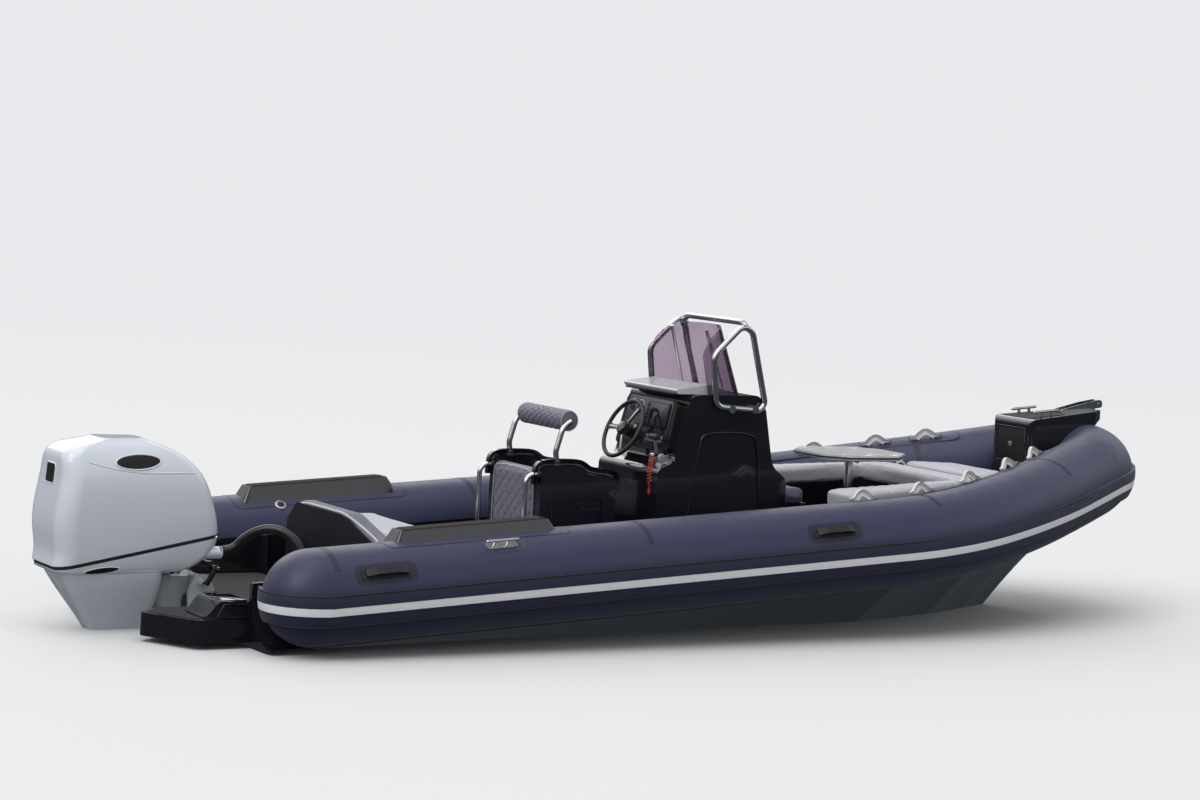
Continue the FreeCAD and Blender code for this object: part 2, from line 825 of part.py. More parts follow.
keep("bench_back_panel", backPanel)
backCushionOutline = (
    (-benchStarboard + 6, dim.benchTop - 40, 20),
    (-benchStarboard + 6, dim.backTop - 128, 40),
    (-benchStarboard + dim.backSlopeLong, dim.backTop, 130),
    (dim.benchPort - 120, dim.backTop, 80),
    (dim.benchPort - 6, dim.backTop - 120, 70),
    (dim.benchPort - 6, dim.benchTop - 40, 20),
)
backCushion = slab("bench_back_cushion", "YZ_Plane", backCushionOutline,
                   dim.backAt + dim.backPanelThick + dim.seatGap, "backCushion")
keep("bench_back_cushion", backCushion)

# Helm seat: a pod between two side panels, a quilted back, a roll on two rails and grab rails aft.
helmFront = dim.consoleAft - dim.helmGap
helmAft = helmFront - dim.helmLong
railBaseX = helmAft + dim.railBaseIn
rollX = helmAft + dim.rollIn
sideProfile = (
    (helmAft, soleTop, 0),
    (helmAft, dim.helmSideTop, 45),
    (helmAft + 0.5 * dim.helmLong, dim.helmSideTop, 30),
    (helmAft + 0.64 * dim.helmLong, dim.helmSideTop - 50, 30),
    (helmFront, dim.helmSideTop - 66, 55),
    (helmFront, soleTop, 0),
)
recessProfile = rect(helmAft + 80, helmFront - 90, soleTop + 120, dim.helmSideTop - 190, 40)
helmShell = sidePrism(sideProfile, -dim.helmHalf, 2 * dim.helmHalf)
for low in (dim.helmHalf - dim.helmRecess, -dim.helmHalf):
    helmShell = helmShell.cut(sidePrism(recessProfile, low, dim.helmRecess))
podHalf = dim.helmHalf - dim.helmSideThick
podAft = helmAft + dim.helmBackThick
podDeep = dim.helmSideTop - soleTop - dim.helmPodTall + 10
helmShell = helmShell.cut(Part.makeBox(
    dim.helmLong + 20, 2 * podHalf, podDeep, V(helmAft - 10, -podHalf, soleTop + dim.helmPodTall)))
helmShell = helmShell.cut(Part.makeBox(
    dim.helmBackThick + 10, 2 * podHalf, dim.helmSideTop, V(helmAft - 10, -podHalf, soleTop - 1)))
feature("helm_shell", helmShell)
podTop = soleTop + dim.helmPodTall
helmCushion = slab("helm_cushion", "XY_Plane", rect(podAft + 4, helmFront + 6, -podHalf + 4, podHalf - 4, 40),
                   podTop + dim.seatGap, "helmCushion")
roundEdges(helmCushion, 28, levelEdges(podTop + dim.seatGap + dim.helmCushion))
keep("helm_cushion", helmCushion)
helmBack = slab("helm_back_cushion", "XZ_Plane",
                ((helmAft - 14, soleTop + 40, 20), (helmAft - 14, dim.helmSideTop - 16, 42),
                 (podAft - dim.seatGap, dim.helmSideTop - 16, 30), (podAft - dim.seatGap, soleTop + 40, 10)),
                -dim.helmBackWide / 2, "helmBackWide")
keep("helm_back_cushion", helmBack)
rails = []
for side in (1, -1):
    y = side * dim.railSpacing
    path = pathThrough(
        (V(railBaseX, y, dim.helmSideTop + dim.seatGap + 6), V(railBaseX - 14, y, dim.helmSideTop + 85),
         V(railBaseX + 30, y, dim.rollZ - 30), V(rollX, y, dim.rollZ)), (90, 110))
    bar = pipe(path, dim.railTube / 2)
    foot = Part.makeCylinder(dim.railTube, 8, V(railBaseX, y, dim.helmSideTop + dim.seatGap))
    rails.append(bar.fuse(foot).removeSplitter())
rails.append(rod(V(rollX, -dim.railSpacing, dim.rollZ), V(rollX, dim.railSpacing, dim.rollZ),
    dim.railTube / 2))
rails = [rails[0].multiFuse(rails[1:]).removeSplitter()]
rollSleeve = Part.makeCylinder(dim.rollRadius, dim.rollLong, V(rollX, -dim.rollLong / 2, dim.rollZ),
    V(0, 1, 0))
rollSleeve = rollSleeve.cut(bore(V(rollX, 0, dim.rollZ), V(0, 1, 0), dim.railTube / 2 + dim.seatGap))
feature("helm_roll", rollSleeve)
for side in (1, -1):
    y = side * (dim.helmHalf - dim.helmSideThick / 2)
    top = dim.helmSideTop - 50
    path = pathThrough(
        (V(helmAft - dim.seatGap, y, top), V(helmAft - 88, y, top), V(helmAft - 88, y, soleTop + 8)), (60,))
    foot = Part.makeCylinder(dim.grabTube, 8, V(helmAft - 88, y, soleTop))
    rails.append(pipe(path, dim.grabTube / 2).fuse(foot).removeSplitter())
feature("helm_rails", Part.makeCompound(rails))

# Console: a hollow moulding with a dash, hood, screen, tube frame and a seat box on its front.
consoleHalf = dim.consoleWide / 2
shelfHeight = dim.shelfHeight
consoleTopAft = dim.consoleAft + dim.dashLean
consoleTopFront = consoleTopAft + dim.consoleTopLong
consoleFront = consoleTopFront + dim.consoleNose
seatBoxFront = consoleFront + dim.seatBoxLong
consoleProfile = (
    (dim.consoleAft, soleTop, 0),
    (dim.consoleAft, shelfHeight, 50),
    (dim.consoleAft + 115, shelfHeight + 45, 40),
    (consoleTopAft, dim.consoleTop - 12, 50),
    (consoleTopAft + 70, dim.consoleTop, 20),
    (consoleTopFront, dim.consoleTop, 60),
    (consoleTopFront + 50, dim.consoleTop - 90, 80),
    (consoleFront - 110, shelfHeight + 20, 120),
    (consoleFront, shelfHeight - 60, 80),
    (consoleFront, soleTop, 0),
)
outer = sidePrism(consoleProfile, -consoleHalf, dim.consoleWide)
innerWire = outlineEdges(consoleProfile).makeOffset2D(-dim.consoleWall)
innerFace = Part.Face(innerWire)
innerFace.Placement = FreeCAD.Placement(V(0, consoleHalf - dim.consoleWall, 0),
    FreeCAD.Rotation(V(1, 0, 0), 90))
inner = innerFace.extrude(V(0, -dim.consoleWide + 2 * dim.consoleWall, 0))
legRoom = planPrism(
    rect(dim.consoleAft + dim.consoleWall, consoleFront - dim.consoleWall,
         -consoleHalf + dim.consoleWall, consoleHalf - dim.consoleWall), soleTop - 1, 40)
archProfile = (
    (dim.consoleAft + 190, soleTop + 60, 20),
    (consoleTopAft + 75, dim.consoleTop - 230, 70),
    (consoleTopFront - 10, dim.consoleTop - 230, 70),
    (consoleFront - 150, soleTop + 60, 20),
)
recessDeep = dim.consoleSideRecess
arches = [sidePrism(archProfile, consoleHalf - recessDeep, recessDeep + 20),
          sidePrism(archProfile, -consoleHalf - 20, recessDeep + 20)]
consoleShell = outer.cut(inner.fuse(legRoom)).cut(arches[0]).cut(arches[1])
dashRise = dim.consoleTop - 57 - shelfHeight
dashRun = consoleTopAft - dim.consoleAft - 115
dashSlopeDeg = math.degrees(math.atan2(dashRun, dashRise))
dashReach = math.hypot(dashRun, dashRise) - 44
dashPlace = FreeCAD.Placement(
    V(dim.consoleAft + 115, 0, shelfHeight + 45), FreeCAD.Rotation(V(0, 1, 0), dashSlopeDeg - 90))
dashLocal = (
    (50, -consoleHalf + 45, 30),
    (dashReach, -consoleHalf + 60, 45),
    (dashReach, consoleHalf - 60, 45),
    (50, consoleHalf - 45, 30),
)
dashShape = prism(dashLocal, FreeCAD.Placement(V(0, 0, dim.seatGap), FreeCAD.Rotation()), dim.dashThick)
dashShape.Placement = dashPlace
hoodProfile = (
    (consoleTopAft - 70, dim.consoleTop + dim.seatGap, 0),
    (consoleTopAft - 90, dim.consoleTop + 26, 8),
    (consoleTopAft + 160, dim.consoleTop + 62, 120),
    (consoleTopFront - 165, dim.consoleTop + dim.seatGap, 0),
)
hood = slab("console_hood", "XZ_Plane", hoodProfile, -dim.hoodWide / 2, "hoodWide")
keep("console_hood", hood)

# Windscreen: a raked wrap-round sheet, between two plan curves.
def screenFace(back, height, inset):
    """Plan of the screen at one height: a wrap-round strip, moved aft by back."""
    half = consoleHalf - 14 - inset
    front = consoleTopFront - 24 - back
    aft = consoleTopAft + 130 - back * 0.5
    bulge = (V(front - 120, -half + 22, height), V(front, 0, height), V(front - 120, half - 22, height))
    thick = dim.screenThick
    outside = [
        Part.LineSegment(V(aft, -half, height), bulge[0]).toShape(),
        Part.Arc(*bulge).toShape(),
        Part.LineSegment(bulge[2], V(aft, half, height)).toShape(),
    ]
    inBulge = (V(front - 122 - thick, -half + 22 + thick, height), V(front - thick, 0, height),
               V(front - 122 - thick, half - 22 - thick, height))
    inside = [
        Part.LineSegment(V(aft, half, height), V(aft, half - thick, height)).toShape(),
        Part.LineSegment(V(aft, half - thick, height), inBulge[2]).toShape(),
        Part.Arc(inBulge[2], inBulge[1], inBulge[0]).toShape(),
        Part.LineSegment(inBulge[0], V(aft, -half + thick, height)).toShape(),
        Part.LineSegment(V(aft, -half + thick, height), V(aft, -half, height)).toShape(),
    ]
    return Part.Wire(outside + inside)


screenFoot = dim.consoleTop + 2 * dim.seatGap
screen = Part.makeLoft([screenFace(0, screenFoot, 0),
                        screenFace(dim.screenRake, screenFoot + dim.screenTall, 40)], True, True)
screenTrim = sidePrism(
    ((consoleTopAft - 100, dim.consoleTop - 50, 0),
    (consoleTopAft + 60, dim.consoleTop + dim.screenTall - 20, 150),
     (consoleTopFront + 200, dim.consoleTop + dim.screenTall + 30, 0),
     (consoleTopFront + 200, dim.consoleTop - 50, 0)),
    -consoleHalf, dim.consoleWide)
screen = screen.common(screenTrim)
feature("windscreen", screen)

# Stainless frame: a closed loop on each side of the console and one bar across the top.
barRadius = dim.frameTube / 2
frameY = consoleHalf + barRadius + dim.seatGap
loopCorners = (
    (consoleTopFront + 38, dim.consoleTop - 95), (consoleTopAft + 170, dim.consoleTop - 70),
    (consoleTopAft + 130, dim.consoleTop + 240),
    (consoleTopFront - 120, dim.consoleTop + dim.screenTall + 62),
)
loops = []
for side in (1, -1):
    y = side * frameY
    corners = [V(x, y, z) for x, z in loopCorners]
    begin = (corners[0] + corners[1]) / 2
    path = pathThrough([begin] + corners[1:] + [corners[0], begin], (62, 90, 70, 55))
    loops.append(pipe(path, barRadius))
loopCorner = V(loopCorners[3][0], 0, loopCorners[3][1])
towardsAft = (V(loopCorners[2][0], 0, loopCorners[2][1]) - loopCorner).normalize()
towardsFoot = (V(loopCorners[0][0], 0, loopCorners[0][1]) - loopCorner).normalize()
inward = (towardsAft + towardsFoot).normalize()
cornerBend = 70
cornerCut = cornerBend * (1 / math.sin(towardsAft.getAngle(towardsFoot) / 2) - 1)
barX = (loopCorner + inward * cornerCut).x
barZ = (loopCorner + inward * cornerCut).z
crossPath = pathThrough(
    (V(barX, frameY, barZ), V(barX, frameY - 60, barZ + 34), V(barX, -frameY + 60, barZ + 34),
     V(barX, -frameY, barZ)), (80, 80))
loops.append(pipe(crossPath, barRadius))
for side in (1, -1):
    for x in (loopCorners[1][0] + 110, loopCorners[0][0] - 90):
        loops.append(Part.makeCylinder(barRadius * 1.3, 2 * barRadius,
            V(x, side * consoleHalf + side * dim.seatGap,
                     dim.consoleTop - 83), V(0, side, 0)))
feature("windscreen_frame", loops[0].multiFuse(loops[1:]).removeSplitter())

# Seat box on the console's front, with a lid that tips forward.
seatBox = planPrism(rect(consoleFront, seatBoxFront, -dim.seatBoxHalf, dim.seatBoxHalf, 0.5),
                    soleTop, dim.seatBoxTop - soleTop)
seatBoxInside = planPrism(
    rect(consoleFront + dim.benchWall, seatBoxFront - dim.benchWall,
         -dim.seatBoxHalf + dim.benchWall, dim.seatBoxHalf - dim.benchWall, 15), soleTop + dim.benchWall,
         deepEnough)
feature("console_shell", consoleShell.fuse(seatBox.cut(seatBoxInside)).removeSplitter())
seatLid = slab("console_seat_lid", "XY_Plane",
               rect(consoleFront + dim.runGap + 3, seatBoxFront, -dim.seatBoxHalf, dim.seatBoxHalf, 25),
               dim.seatBoxTop + dim.seatGap, "seatLidThick")
keep("console_seat_lid", seatLid)
seatCushionFoot = dim.seatBoxTop + dim.seatLidThick + 2 * dim.seatGap
seatCushion = slab("console_seat_cushion", "XY_Plane",
                   rect(consoleFront + 18, seatBoxFront - 6, -dim.seatBoxHalf + 6, dim.seatBoxHalf - 6, 40),
                   seatCushionFoot, "seatCushion")
roundEdges(seatCushion, 24, levelEdges(seatCushionFoot + dim.seatCushion))
keep("console_seat_cushion", seatCushion)

# Steering wheel on a boss that stands out of the dash.
wheelTilt = FreeCAD.Rotation(V(0, 1, 0), dim.wheelTiltDeg - 90)
wheelPlace = FreeCAD.Placement(V(dim.consoleAft, dim.wheelY, dim.shelfHeight + dim.wheelAbove), wheelTilt)
rim = Part.makeTorus(dim.wheelRadius - dim.wheelRim / 2, dim.wheelRim / 2)
spokes = []
for step in range(3):
    spoke = planPrism(
        ((0, -24, 0), (dim.wheelRadius * 0.5, -13, 0), (dim.wheelRadius - dim.wheelRim / 2, -22, 0),
         (dim.wheelRadius - dim.wheelRim / 2, 22, 0), (dim.wheelRadius * 0.5, 13, 0), (0, 24, 0)), -5, 10)
    spoke.rotate(V(0, 0, 0), V(0, 0, 1), 90 + 120 * step)
    spokes.append(spoke)
wheelHub = Part.makeCylinder(38, 34, V(0, 0, -22))
wheelShape = rim.multiFuse(spokes + [wheelHub]).removeSplitter()
wheelShape = wheelShape.cut(Part.makeCylinder(dim.wheelShaft + dim.seatGap, 27, V(0, 0, -25)))
wheelShape.Placement = wheelPlace
feature("steering_wheel", wheelShape)
bossShape = Part.makeCone(44, 32, 150, V(0, 0, -dim.runGap - 22 - 150))
bossShape = bossShape.fuse(Part.makeCylinder(dim.wheelShaft, 80, V(0, 0, -80)))
bossShape.Placement = wheelPlace
feature("dash_panel", dashShape.fuse(max(bossShape.cut(outer).Solids,
    key=lambda solid: solid.Volume)).removeSplitter())

# Throttle box on the shelf, starboard of the wheel.
throttleX = dim.consoleAft + 70
throttleBase = Part.makeBox(94, 84, 120, V(throttleX - 47, dim.throttleY - 42, shelfHeight - 30))
throttleBase = throttleBase.makeFillet(
    20, [e for e in throttleBase.Edges if e.BoundBox.ZMin > shelfHeight + 80])
throttleBase = throttleBase.cut(outer)
throttleEye = V(throttleX - 5, dim.throttleY, shelfHeight + 60)
throttleKnob = throttleEye + V(-38, 0, 130)
throttleArm = rod(throttleEye, throttleKnob, 11)
throttleGrip = rod(throttleKnob - V(0, 38, 0), throttleKnob + V(0, 46, 0), 17)
feature("throttle", throttleBase.multiFuse([throttleArm, throttleGrip]).removeSplitter())

# Table: an eight-sided top with six cup recesses on one post, fixed to the sole.
halfLong = dim.tableLong / 2
halfWide = dim.tableWide / 2
cut = dim.tableCut
tableOutline = tuple((dim.tableX + u, v, 30) for u, v in (
    (-halfLong, -halfWide + cut), (-halfLong + cut, -halfWide), (halfLong - cut, -halfWide),
    (halfLong, -halfWide + cut),
    (halfLong, halfWide - cut), (halfLong - cut, halfWide), (-halfLong + cut, halfWide),
    (-halfLong, halfWide - cut)))
table = slab("table_top", "XY_Plane", tableOutline, dim.tableTop - dim.tableThick, "tableThick")
cupR = dim.cupRadius
for u in (-halfLong + 130, 0, halfLong - 130):
    for v in (-halfWide + 75, halfWide - 75):
        ring = rect(dim.tableX + u - cupR, dim.tableX + u + cupR, v - cupR, v + cupR, cupR - 0.01)
        pocket(table, "XY_Plane", ring, dim.tableTop - dim.cupDeep, "cupDeep")
keep("table_top", table)
postTop = dim.tableTop - dim.tableThick - dim.seatGap
post = Part.makeCylinder(dim.tablePost / 2, postTop - soleTop, V(dim.tableX, 0, soleTop))
postFoot = Part.makeCone(115, 100, 18, V(dim.tableX, 0, soleTop))
postHead = Part.makeCone(60, 95, 30, V(dim.tableX, 0, postTop - 30))
feature("table_post", post.multiFuse([postFoot, postHead]).removeSplitter())

# Bow lounge: benches along both tubes round a well, a cushioned locker lid ahead of them.
loungeFront = dim.cockpitFront - dim.runGap
wellHalf = innerHalf(dim.bowBendAt) - dim.loungeBenchWide
loungeSlab = planPrism(cockpitOutline(dim.loungeAft, loungeFront, dim.runGap), soleTop, deepEnough)
loungeTop = sidePrism(
    ((dim.loungeAft - 10, soleTop - 10, 0), (dim.loungeAft - 10, dim.loungeAftTop, 0),
     (loungeFront + 10, dim.foredeckHeight - dim.seatGap, 0), (loungeFront + 10, soleTop - 10, 0)),
    -dim.tubeHalfSpacing, 2 * dim.tubeHalfSpacing)
well = planPrism(rect(dim.loungeAft - 200, dim.loungeWell, -wellHalf, wellHalf, 90), 0, deepEnough)
loungeShape = loungeSlab.common(loungeTop).common(aboveSole)
feature("lounge_base", loungeShape.cut(well))
loungeSlopeDeg = math.degrees(math.atan2(
    dim.foredeckHeight - dim.loungeAftTop, loungeFront - dim.loungeAft + 20))
edgeIn = wellHalf + 6
sideFront = dim.loungeWell - 4
cushionPlans = [(
    (sideFront + 4, -innerHalf(sideFront) + 16, 40), (loungeFront - 12, -innerHalf(loungeFront) + 14, 60),
    (loungeFront - 12, innerHalf(loungeFront) - 14, 60), (sideFront + 4, innerHalf(sideFront) - 16, 40))]
for side in (1, -1):
    cushionPlans.append((
        (dim.loungeAft + 6, side * edgeIn, 35),
        (sideFront, side * edgeIn, 30),
        (sideFront, side * (innerHalf(sideFront) - 14), 35),
        (4420, side * (innerHalf(4420) - 14), 1400),
        (dim.loungeAft + 6, side * (innerHalf(dim.loungeAft) - 14), 35),
    ))
lean = FreeCAD.Rotation(V(0, 1, 0), -loungeSlopeDeg)
pivot = V(loungeFront, 0, dim.foredeckHeight - 10 * math.tan(math.radians(loungeSlopeDeg)))
cushions = []
for plan in cushionPlans:
    cushion = planPrism(plan, 0, dim.loungeCushion)
    cushion = cushion.makeFillet(26, [e for e in cushion.Edges if levelEdges(dim.loungeCushion)(e)])
    cushion.Placement = FreeCAD.Placement(pivot - lean.multVec(V(loungeFront, 0, 0)), lean)
    cushions.append(cushion)
feature("lounge_cushions", Part.makeCompound(cushions))
bowLid = slab("bow_locker_lid", "XY_Plane",
              rect(dim.bowLidAft, dim.bowLidFront, -dim.bowLidHalf, dim.bowLidHalf, 30),
              dim.foredeckHeight + dim.seatGap, "bowLidThick")
keep("bow_locker_lid", bowLid)
bowCushionFoot = dim.foredeckHeight + dim.bowLidThick + 2 * dim.seatGap
bowCushion = slab("bow_cushion", "XY_Plane",
                  ((dim.bowLidAft + 4, -innerHalf(dim.bowLidAft) + 30, 60),
                   (dim.bowLidAft + 4, innerHalf(dim.bowLidAft) - 30, 60),
                   (dim.bowLidFront - 4, innerHalf(dim.bowLidFront) - 30, 70),
                   (dim.bowLidFront - 4, -innerHalf(dim.bowLidFront) + 30, 70)),
                  bowCushionFoot, "bowCushionThick")
roundEdges(bowCushion, 24, levelEdges(bowCushionFoot + dim.bowCushionThick))
keep("bow_cushion", bowCushion)

# Bow box: the chamfered step over the bow tube, with the anchor roller's channel on it.
boxSlope = (dim.bowBoxTopFront - dim.bowBoxTopAft) / (dim.bowBoxFront - dim.bowBoxAft)
boxSide = (
    (dim.bowBoxAft, dim.foredeckHeight + dim.seatGap, 0),
    (dim.bowBoxAft, dim.bowBoxTopAft, 45),
    (dim.bowBoxFront, dim.bowBoxTopFront, 22),
    (dim.bowBoxFront, dim.bowBoxTopFront - 58, 14),
    (dim.bowCentreAt, dim.bowHeight + dim.tubeRadius - 30, 0),
    (dim.bowCentreAt, dim.foredeckHeight + dim.seatGap, 0),
)
boxPlan = (
    (dim.bowBoxAft, -dim.bowBoxHalfAft, 40),
    (dim.bowBoxAft, dim.bowBoxHalfAft, 40),
    (dim.bowBoxFront - 90, dim.bowBoxHalfFront + 12, 60),
    (dim.bowBoxFront, dim.bowBoxHalfFront - 45, 40),
    (dim.bowBoxFront, -dim.bowBoxHalfFront + 45, 40),
    (dim.bowBoxFront - 90, -dim.bowBoxHalfFront - 12, 60),
)
boxShape = sidePrism(boxSide, -dim.bowBoxHalfAft, 2 * dim.bowBoxHalfAft).common(
    planPrism(boxPlan, 0, deepEnough)).cut(tubeSeat)
feature("bow_box", max(boxShape.Solids, key=lambda solid: solid.Volume))


def boxTopAt(x):
    """Height of the bow box's top at a station."""
    return dim.bowBoxTopAft + (x - dim.bowBoxAft) * boxSlope


boxSlopeDeg = math.degrees(math.atan(boxSlope))
channelPlace = FreeCAD.Placement(
    V(dim.rollerChannelAft, 0, boxTopAt(dim.rollerChannelAft) + dim.seatGap),
    FreeCAD.Rotation(V(0, 1, 0), -boxSlopeDeg))
channelLong = dim.rollerX - dim.rollerChannelAft
channelHalf = dim.rollerChannelHalf
channelWall = 5
floorLong = channelLong - dim.rollerRadius - dim.runGap
cheekProfile = (
    (0, 0, 0), (0, 22, 10), (channelLong - 120, dim.rollerChannelTall - 12, 60),
    (channelLong + 26, dim.rollerChannelTall, 20), (channelLong + 26, 8, 20),
)
channel = [Part.makeBox(floorLong, 2 * channelHalf, channelWall, V(0, -channelHalf, 0))]
for side in (1, -1):
    channel.append(sidePrism(cheekProfile, side * (channelHalf - channelWall / 2) - channelWall / 2,
        channelWall))
pinHeight = dim.rollerRadius + 4
channelShape = channel[0].multiFuse(channel[1:]).removeSplitter()
rollerPin = Part.makeCylinder(8, 2 * channelHalf + 14, V(channelLong, -channelHalf - 7, pinHeight),
    V(0, 1, 0))
channelShape = channelShape.fuse(rollerPin).removeSplitter()
channelShape.Placement = channelPlace
feature("bow_roller_channel", channelShape)
rollerHalf = dim.rollerLong / 2
rollerProfile = ((8 + dim.seatGap, -rollerHalf, 0), (dim.rollerRadius, -rollerHalf, 6),
    (dim.rollerRadius - 12, 0, 30),
                 (dim.rollerRadius, rollerHalf, 6), (8 + dim.seatGap, rollerHalf, 0))
rollerFace = Part.Face(outlineEdges(rollerProfile))
rollerShape = rollerFace.revolve(V(0, 0, 0), V(0, 1, 0), 360)
rollerShape.translate(V(channelLong, 0, pinHeight))
rollerShape.Placement = channelPlace.multiply(rollerShape.Placement)
feature("bow_roller", rollerShape)

# Cleats: two on the bow box, one on the outer shoulder of each tube beside the step pads.
bowCleatX = dim.bowBoxAft + 190
cleats = []
for side in (1, -1):
    spot = V(bowCleatX, side * 120, boxTopAt(bowCleatX) + dim.seatGap)
    cleats.append(cleat(FreeCAD.Placement(spot, FreeCAD.Rotation(V(0, 1, 0), -boxSlopeDeg)), 0))
for side in (1, -1):
    place = onTube(dim.sideCleatX, side, 34)
    foot = prism(rect(-dim.cleatLong / 2 + 5, dim.cleatLong / 2 - 5, -30, 30, 25),
                 FreeCAD.Placement(V(0, 0, -30), FreeCAD.Rotation()), 36)
    foot.Placement = place
    cleats.append(cleat(place, 5).fuse(foot).removeSplitter().cut(tubeSeat))
feature("cleats", Part.makeCompound(cleats))

# Outboard's fixed mount: two clamp plates on the transom and the tilt tube between them.
tiltAxis = V(dim.tiltX, 0, dim.tiltZ)
clampProfile = (
    (-dim.seatGap, -120, 8), (-dim.seatGap, dim.transomTop + dim.seatGap, 0),
    (64, dim.transomTop + dim.seatGap, 8),
    (64, dim.transomTop + 22, 12), (dim.tiltX + 42, dim.tiltZ + 42, 26), (dim.tiltX - 36, dim.tiltZ + 42, 34),
    (dim.tiltX - 72, dim.tiltZ - 60, 40), (-70, -120, 20),
)
clampParts = []
for low in (-dim.clampHalf + 22, dim.clampHalf - 22 - dim.clampThick):
    clampParts.append(sidePrism(clampProfile, low, dim.clampThick))
clampParts.append(rod(tiltAxis - V(0, dim.clampHalf, 0), tiltAxis + V(0, dim.clampHalf, 0),
    dim.tiltTubeRadius))
feature("clamp_bracket", clampParts[0].multiFuse(clampParts[1:]).removeSplitter())

# Swivel bracket: lug round the tilt tube, web and steering tube.
steerAxis = V(dim.steerX, 0, 0)
lug = Part.makeCylinder(40, 2 * dim.swivelHalf, tiltAxis - V(0, dim.swivelHalf, 0), V(0, 1, 0))
steerTube = Part.makeCylinder(dim.steerTubeRadius, dim.steerTubeTop - dim.steerTubeFoot,
    V(dim.steerX, 0, dim.steerTubeFoot))
webProfile = (
    (dim.steerX, dim.steerTubeFoot + 30, 0), (dim.steerX, dim.steerTubeTop - 8, 0),
    (dim.tiltX - 60, dim.steerTubeTop - 8, 20),
    (dim.tiltX, dim.tiltZ + 38, 10), (dim.tiltX - 14, dim.tiltZ - 37, 0), (-95, dim.tiltZ - 95, 40),
    (-110, dim.steerTubeFoot + 30, 40),
)
web = sidePrism(webProfile, -45, 90)
swivelShape = lug.multiFuse([steerTube, web])
swivelShape = swivelShape.cut(bore(tiltAxis, V(0, 1, 0), dim.tiltTubeRadius + dim.seatGap))
swivelShape = swivelShape.cut(bore(steerAxis, V(0, 0, 1), dim.steerPinRadius + dim.seatGap))
feature("swivel_bracket", swivelShape.removeSplitter())


def cowlRing(z, aft, front, half, cornerAft, cornerFront):
    """A level section of the outboard's housing: a rounded box, narrower ahead."""
    points = ((aft, -half, cornerAft), (front, -half * 0.72, cornerFront), (front, half * 0.72, cornerFront),
              (aft, half, cornerAft))
    return outlineEdges(points, FreeCAD.Placement(V(0, 0, z), FreeCAD.Rotation()))


cowlSections = (
    # z, aft x, front x, half width, aft corner, front corner
    (335, -880, -150, 225, 95, 60),
    (430, -915, 25, 262, 100, 75),
    (560, -925, 68, 275, 105, 80),
    (740, -915, 28, 278, 105, 80),
    (900, -893, -48, 258, 100, 75),
    (1000, -880, -165, 222, 90, 70),
    (1050, -815, -275, 180, 75, 60),
    (1090, -650, -380, 120, 50, 50),
)


def cowlLoft(inset):
    """The cowl's outside, or its inside when inset by a wall."""
    rings = []
    for z, aft, front, half, cornerAft, cornerFront in cowlSections:
        drop = inset if z > 1000 else 0
        rings.append(cowlRing(z - drop, aft + inset, front - inset, half - inset,
                              cornerAft - inset * 0.5, cornerFront - inset * 0.5))
    return Part.makeLoft(rings, True, False)


cowlOuter = cowlLoft(0)
splitRise = dim.splitFront - dim.splitAft


def splitSolid(shift, up):
    """Everything above (or below) the cowl's split line, moved up by shift."""
    aftX, frontX = -1100, 150
    aftZ = dim.splitAft + shift + splitRise * (aftX + 945) / 945
    frontZ = dim.splitAft + shift + splitRise * (frontX + 945) / 945
    far = 1500 if up else -500
    return sidePrism(((aftX, aftZ, 0), (frontX, frontZ, 0), (frontX, far, 0), (aftX, far, 0)), -400, 800)


upperShape = cowlOuter.common(splitSolid(dim.sealTall / 2, True)).cut(cowlLoft(dim.cowlWall))
feature("upper_cowl", upperShape)
sealOuter = cowlLoft(dim.sealInset)
sealShape = sealOuter.common(splitSolid(-dim.sealTall / 2 + dim.seatGap, True)).common(
    splitSolid(dim.sealTall / 2 - dim.seatGap, False)).cut(cowlLoft(dim.sealInset + 24))
feature("cowl_seal", sealShape)
lowerShape = cowlOuter.common(splitSolid(-dim.sealTall / 2, False)).cut(
    cowlLoft(30).common(splitSolid(-dim.sealTall / 2 - 40, True)))
bootAt = V(-30, dim.hoseY, dim.hoseZ)
boot = Part.makeCylinder(dim.hoseRadius + 9, 118, bootAt, V(1, 0, 0)).cut(cowlLoft(12))
plinthFoot = dim.cowlFoot + 20
plinth = Part.makeBox(300, 2 * dim.plinthHalf, dim.powerFoot - dim.seatGap - plinthFoot,
    V(-640, -dim.plinthHalf, plinthFoot))
lowerShape = lowerShape.multiFuse([boot, plinth]).cut(bore(bootAt, V(1, 0, 0),
    dim.hoseRadius + dim.seatGap, 130)).removeSplitter()
feature("lower_cowl", lowerShape)
powerhead = doc.addObject("Part::Box", "powerhead")
powerhead.setExpression("Length", "Sizes.powerLong")
powerhead.setExpression("Width", "Sizes.powerWide")
powerhead.setExpression("Height", "Sizes.powerTall")
powerhead.Placement = FreeCAD.Placement(V(dim.powerAft, -dim.powerWide / 2, dim.powerFoot),
    FreeCAD.Rotation())
doc.recompute()
keep("powerhead", powerhead)

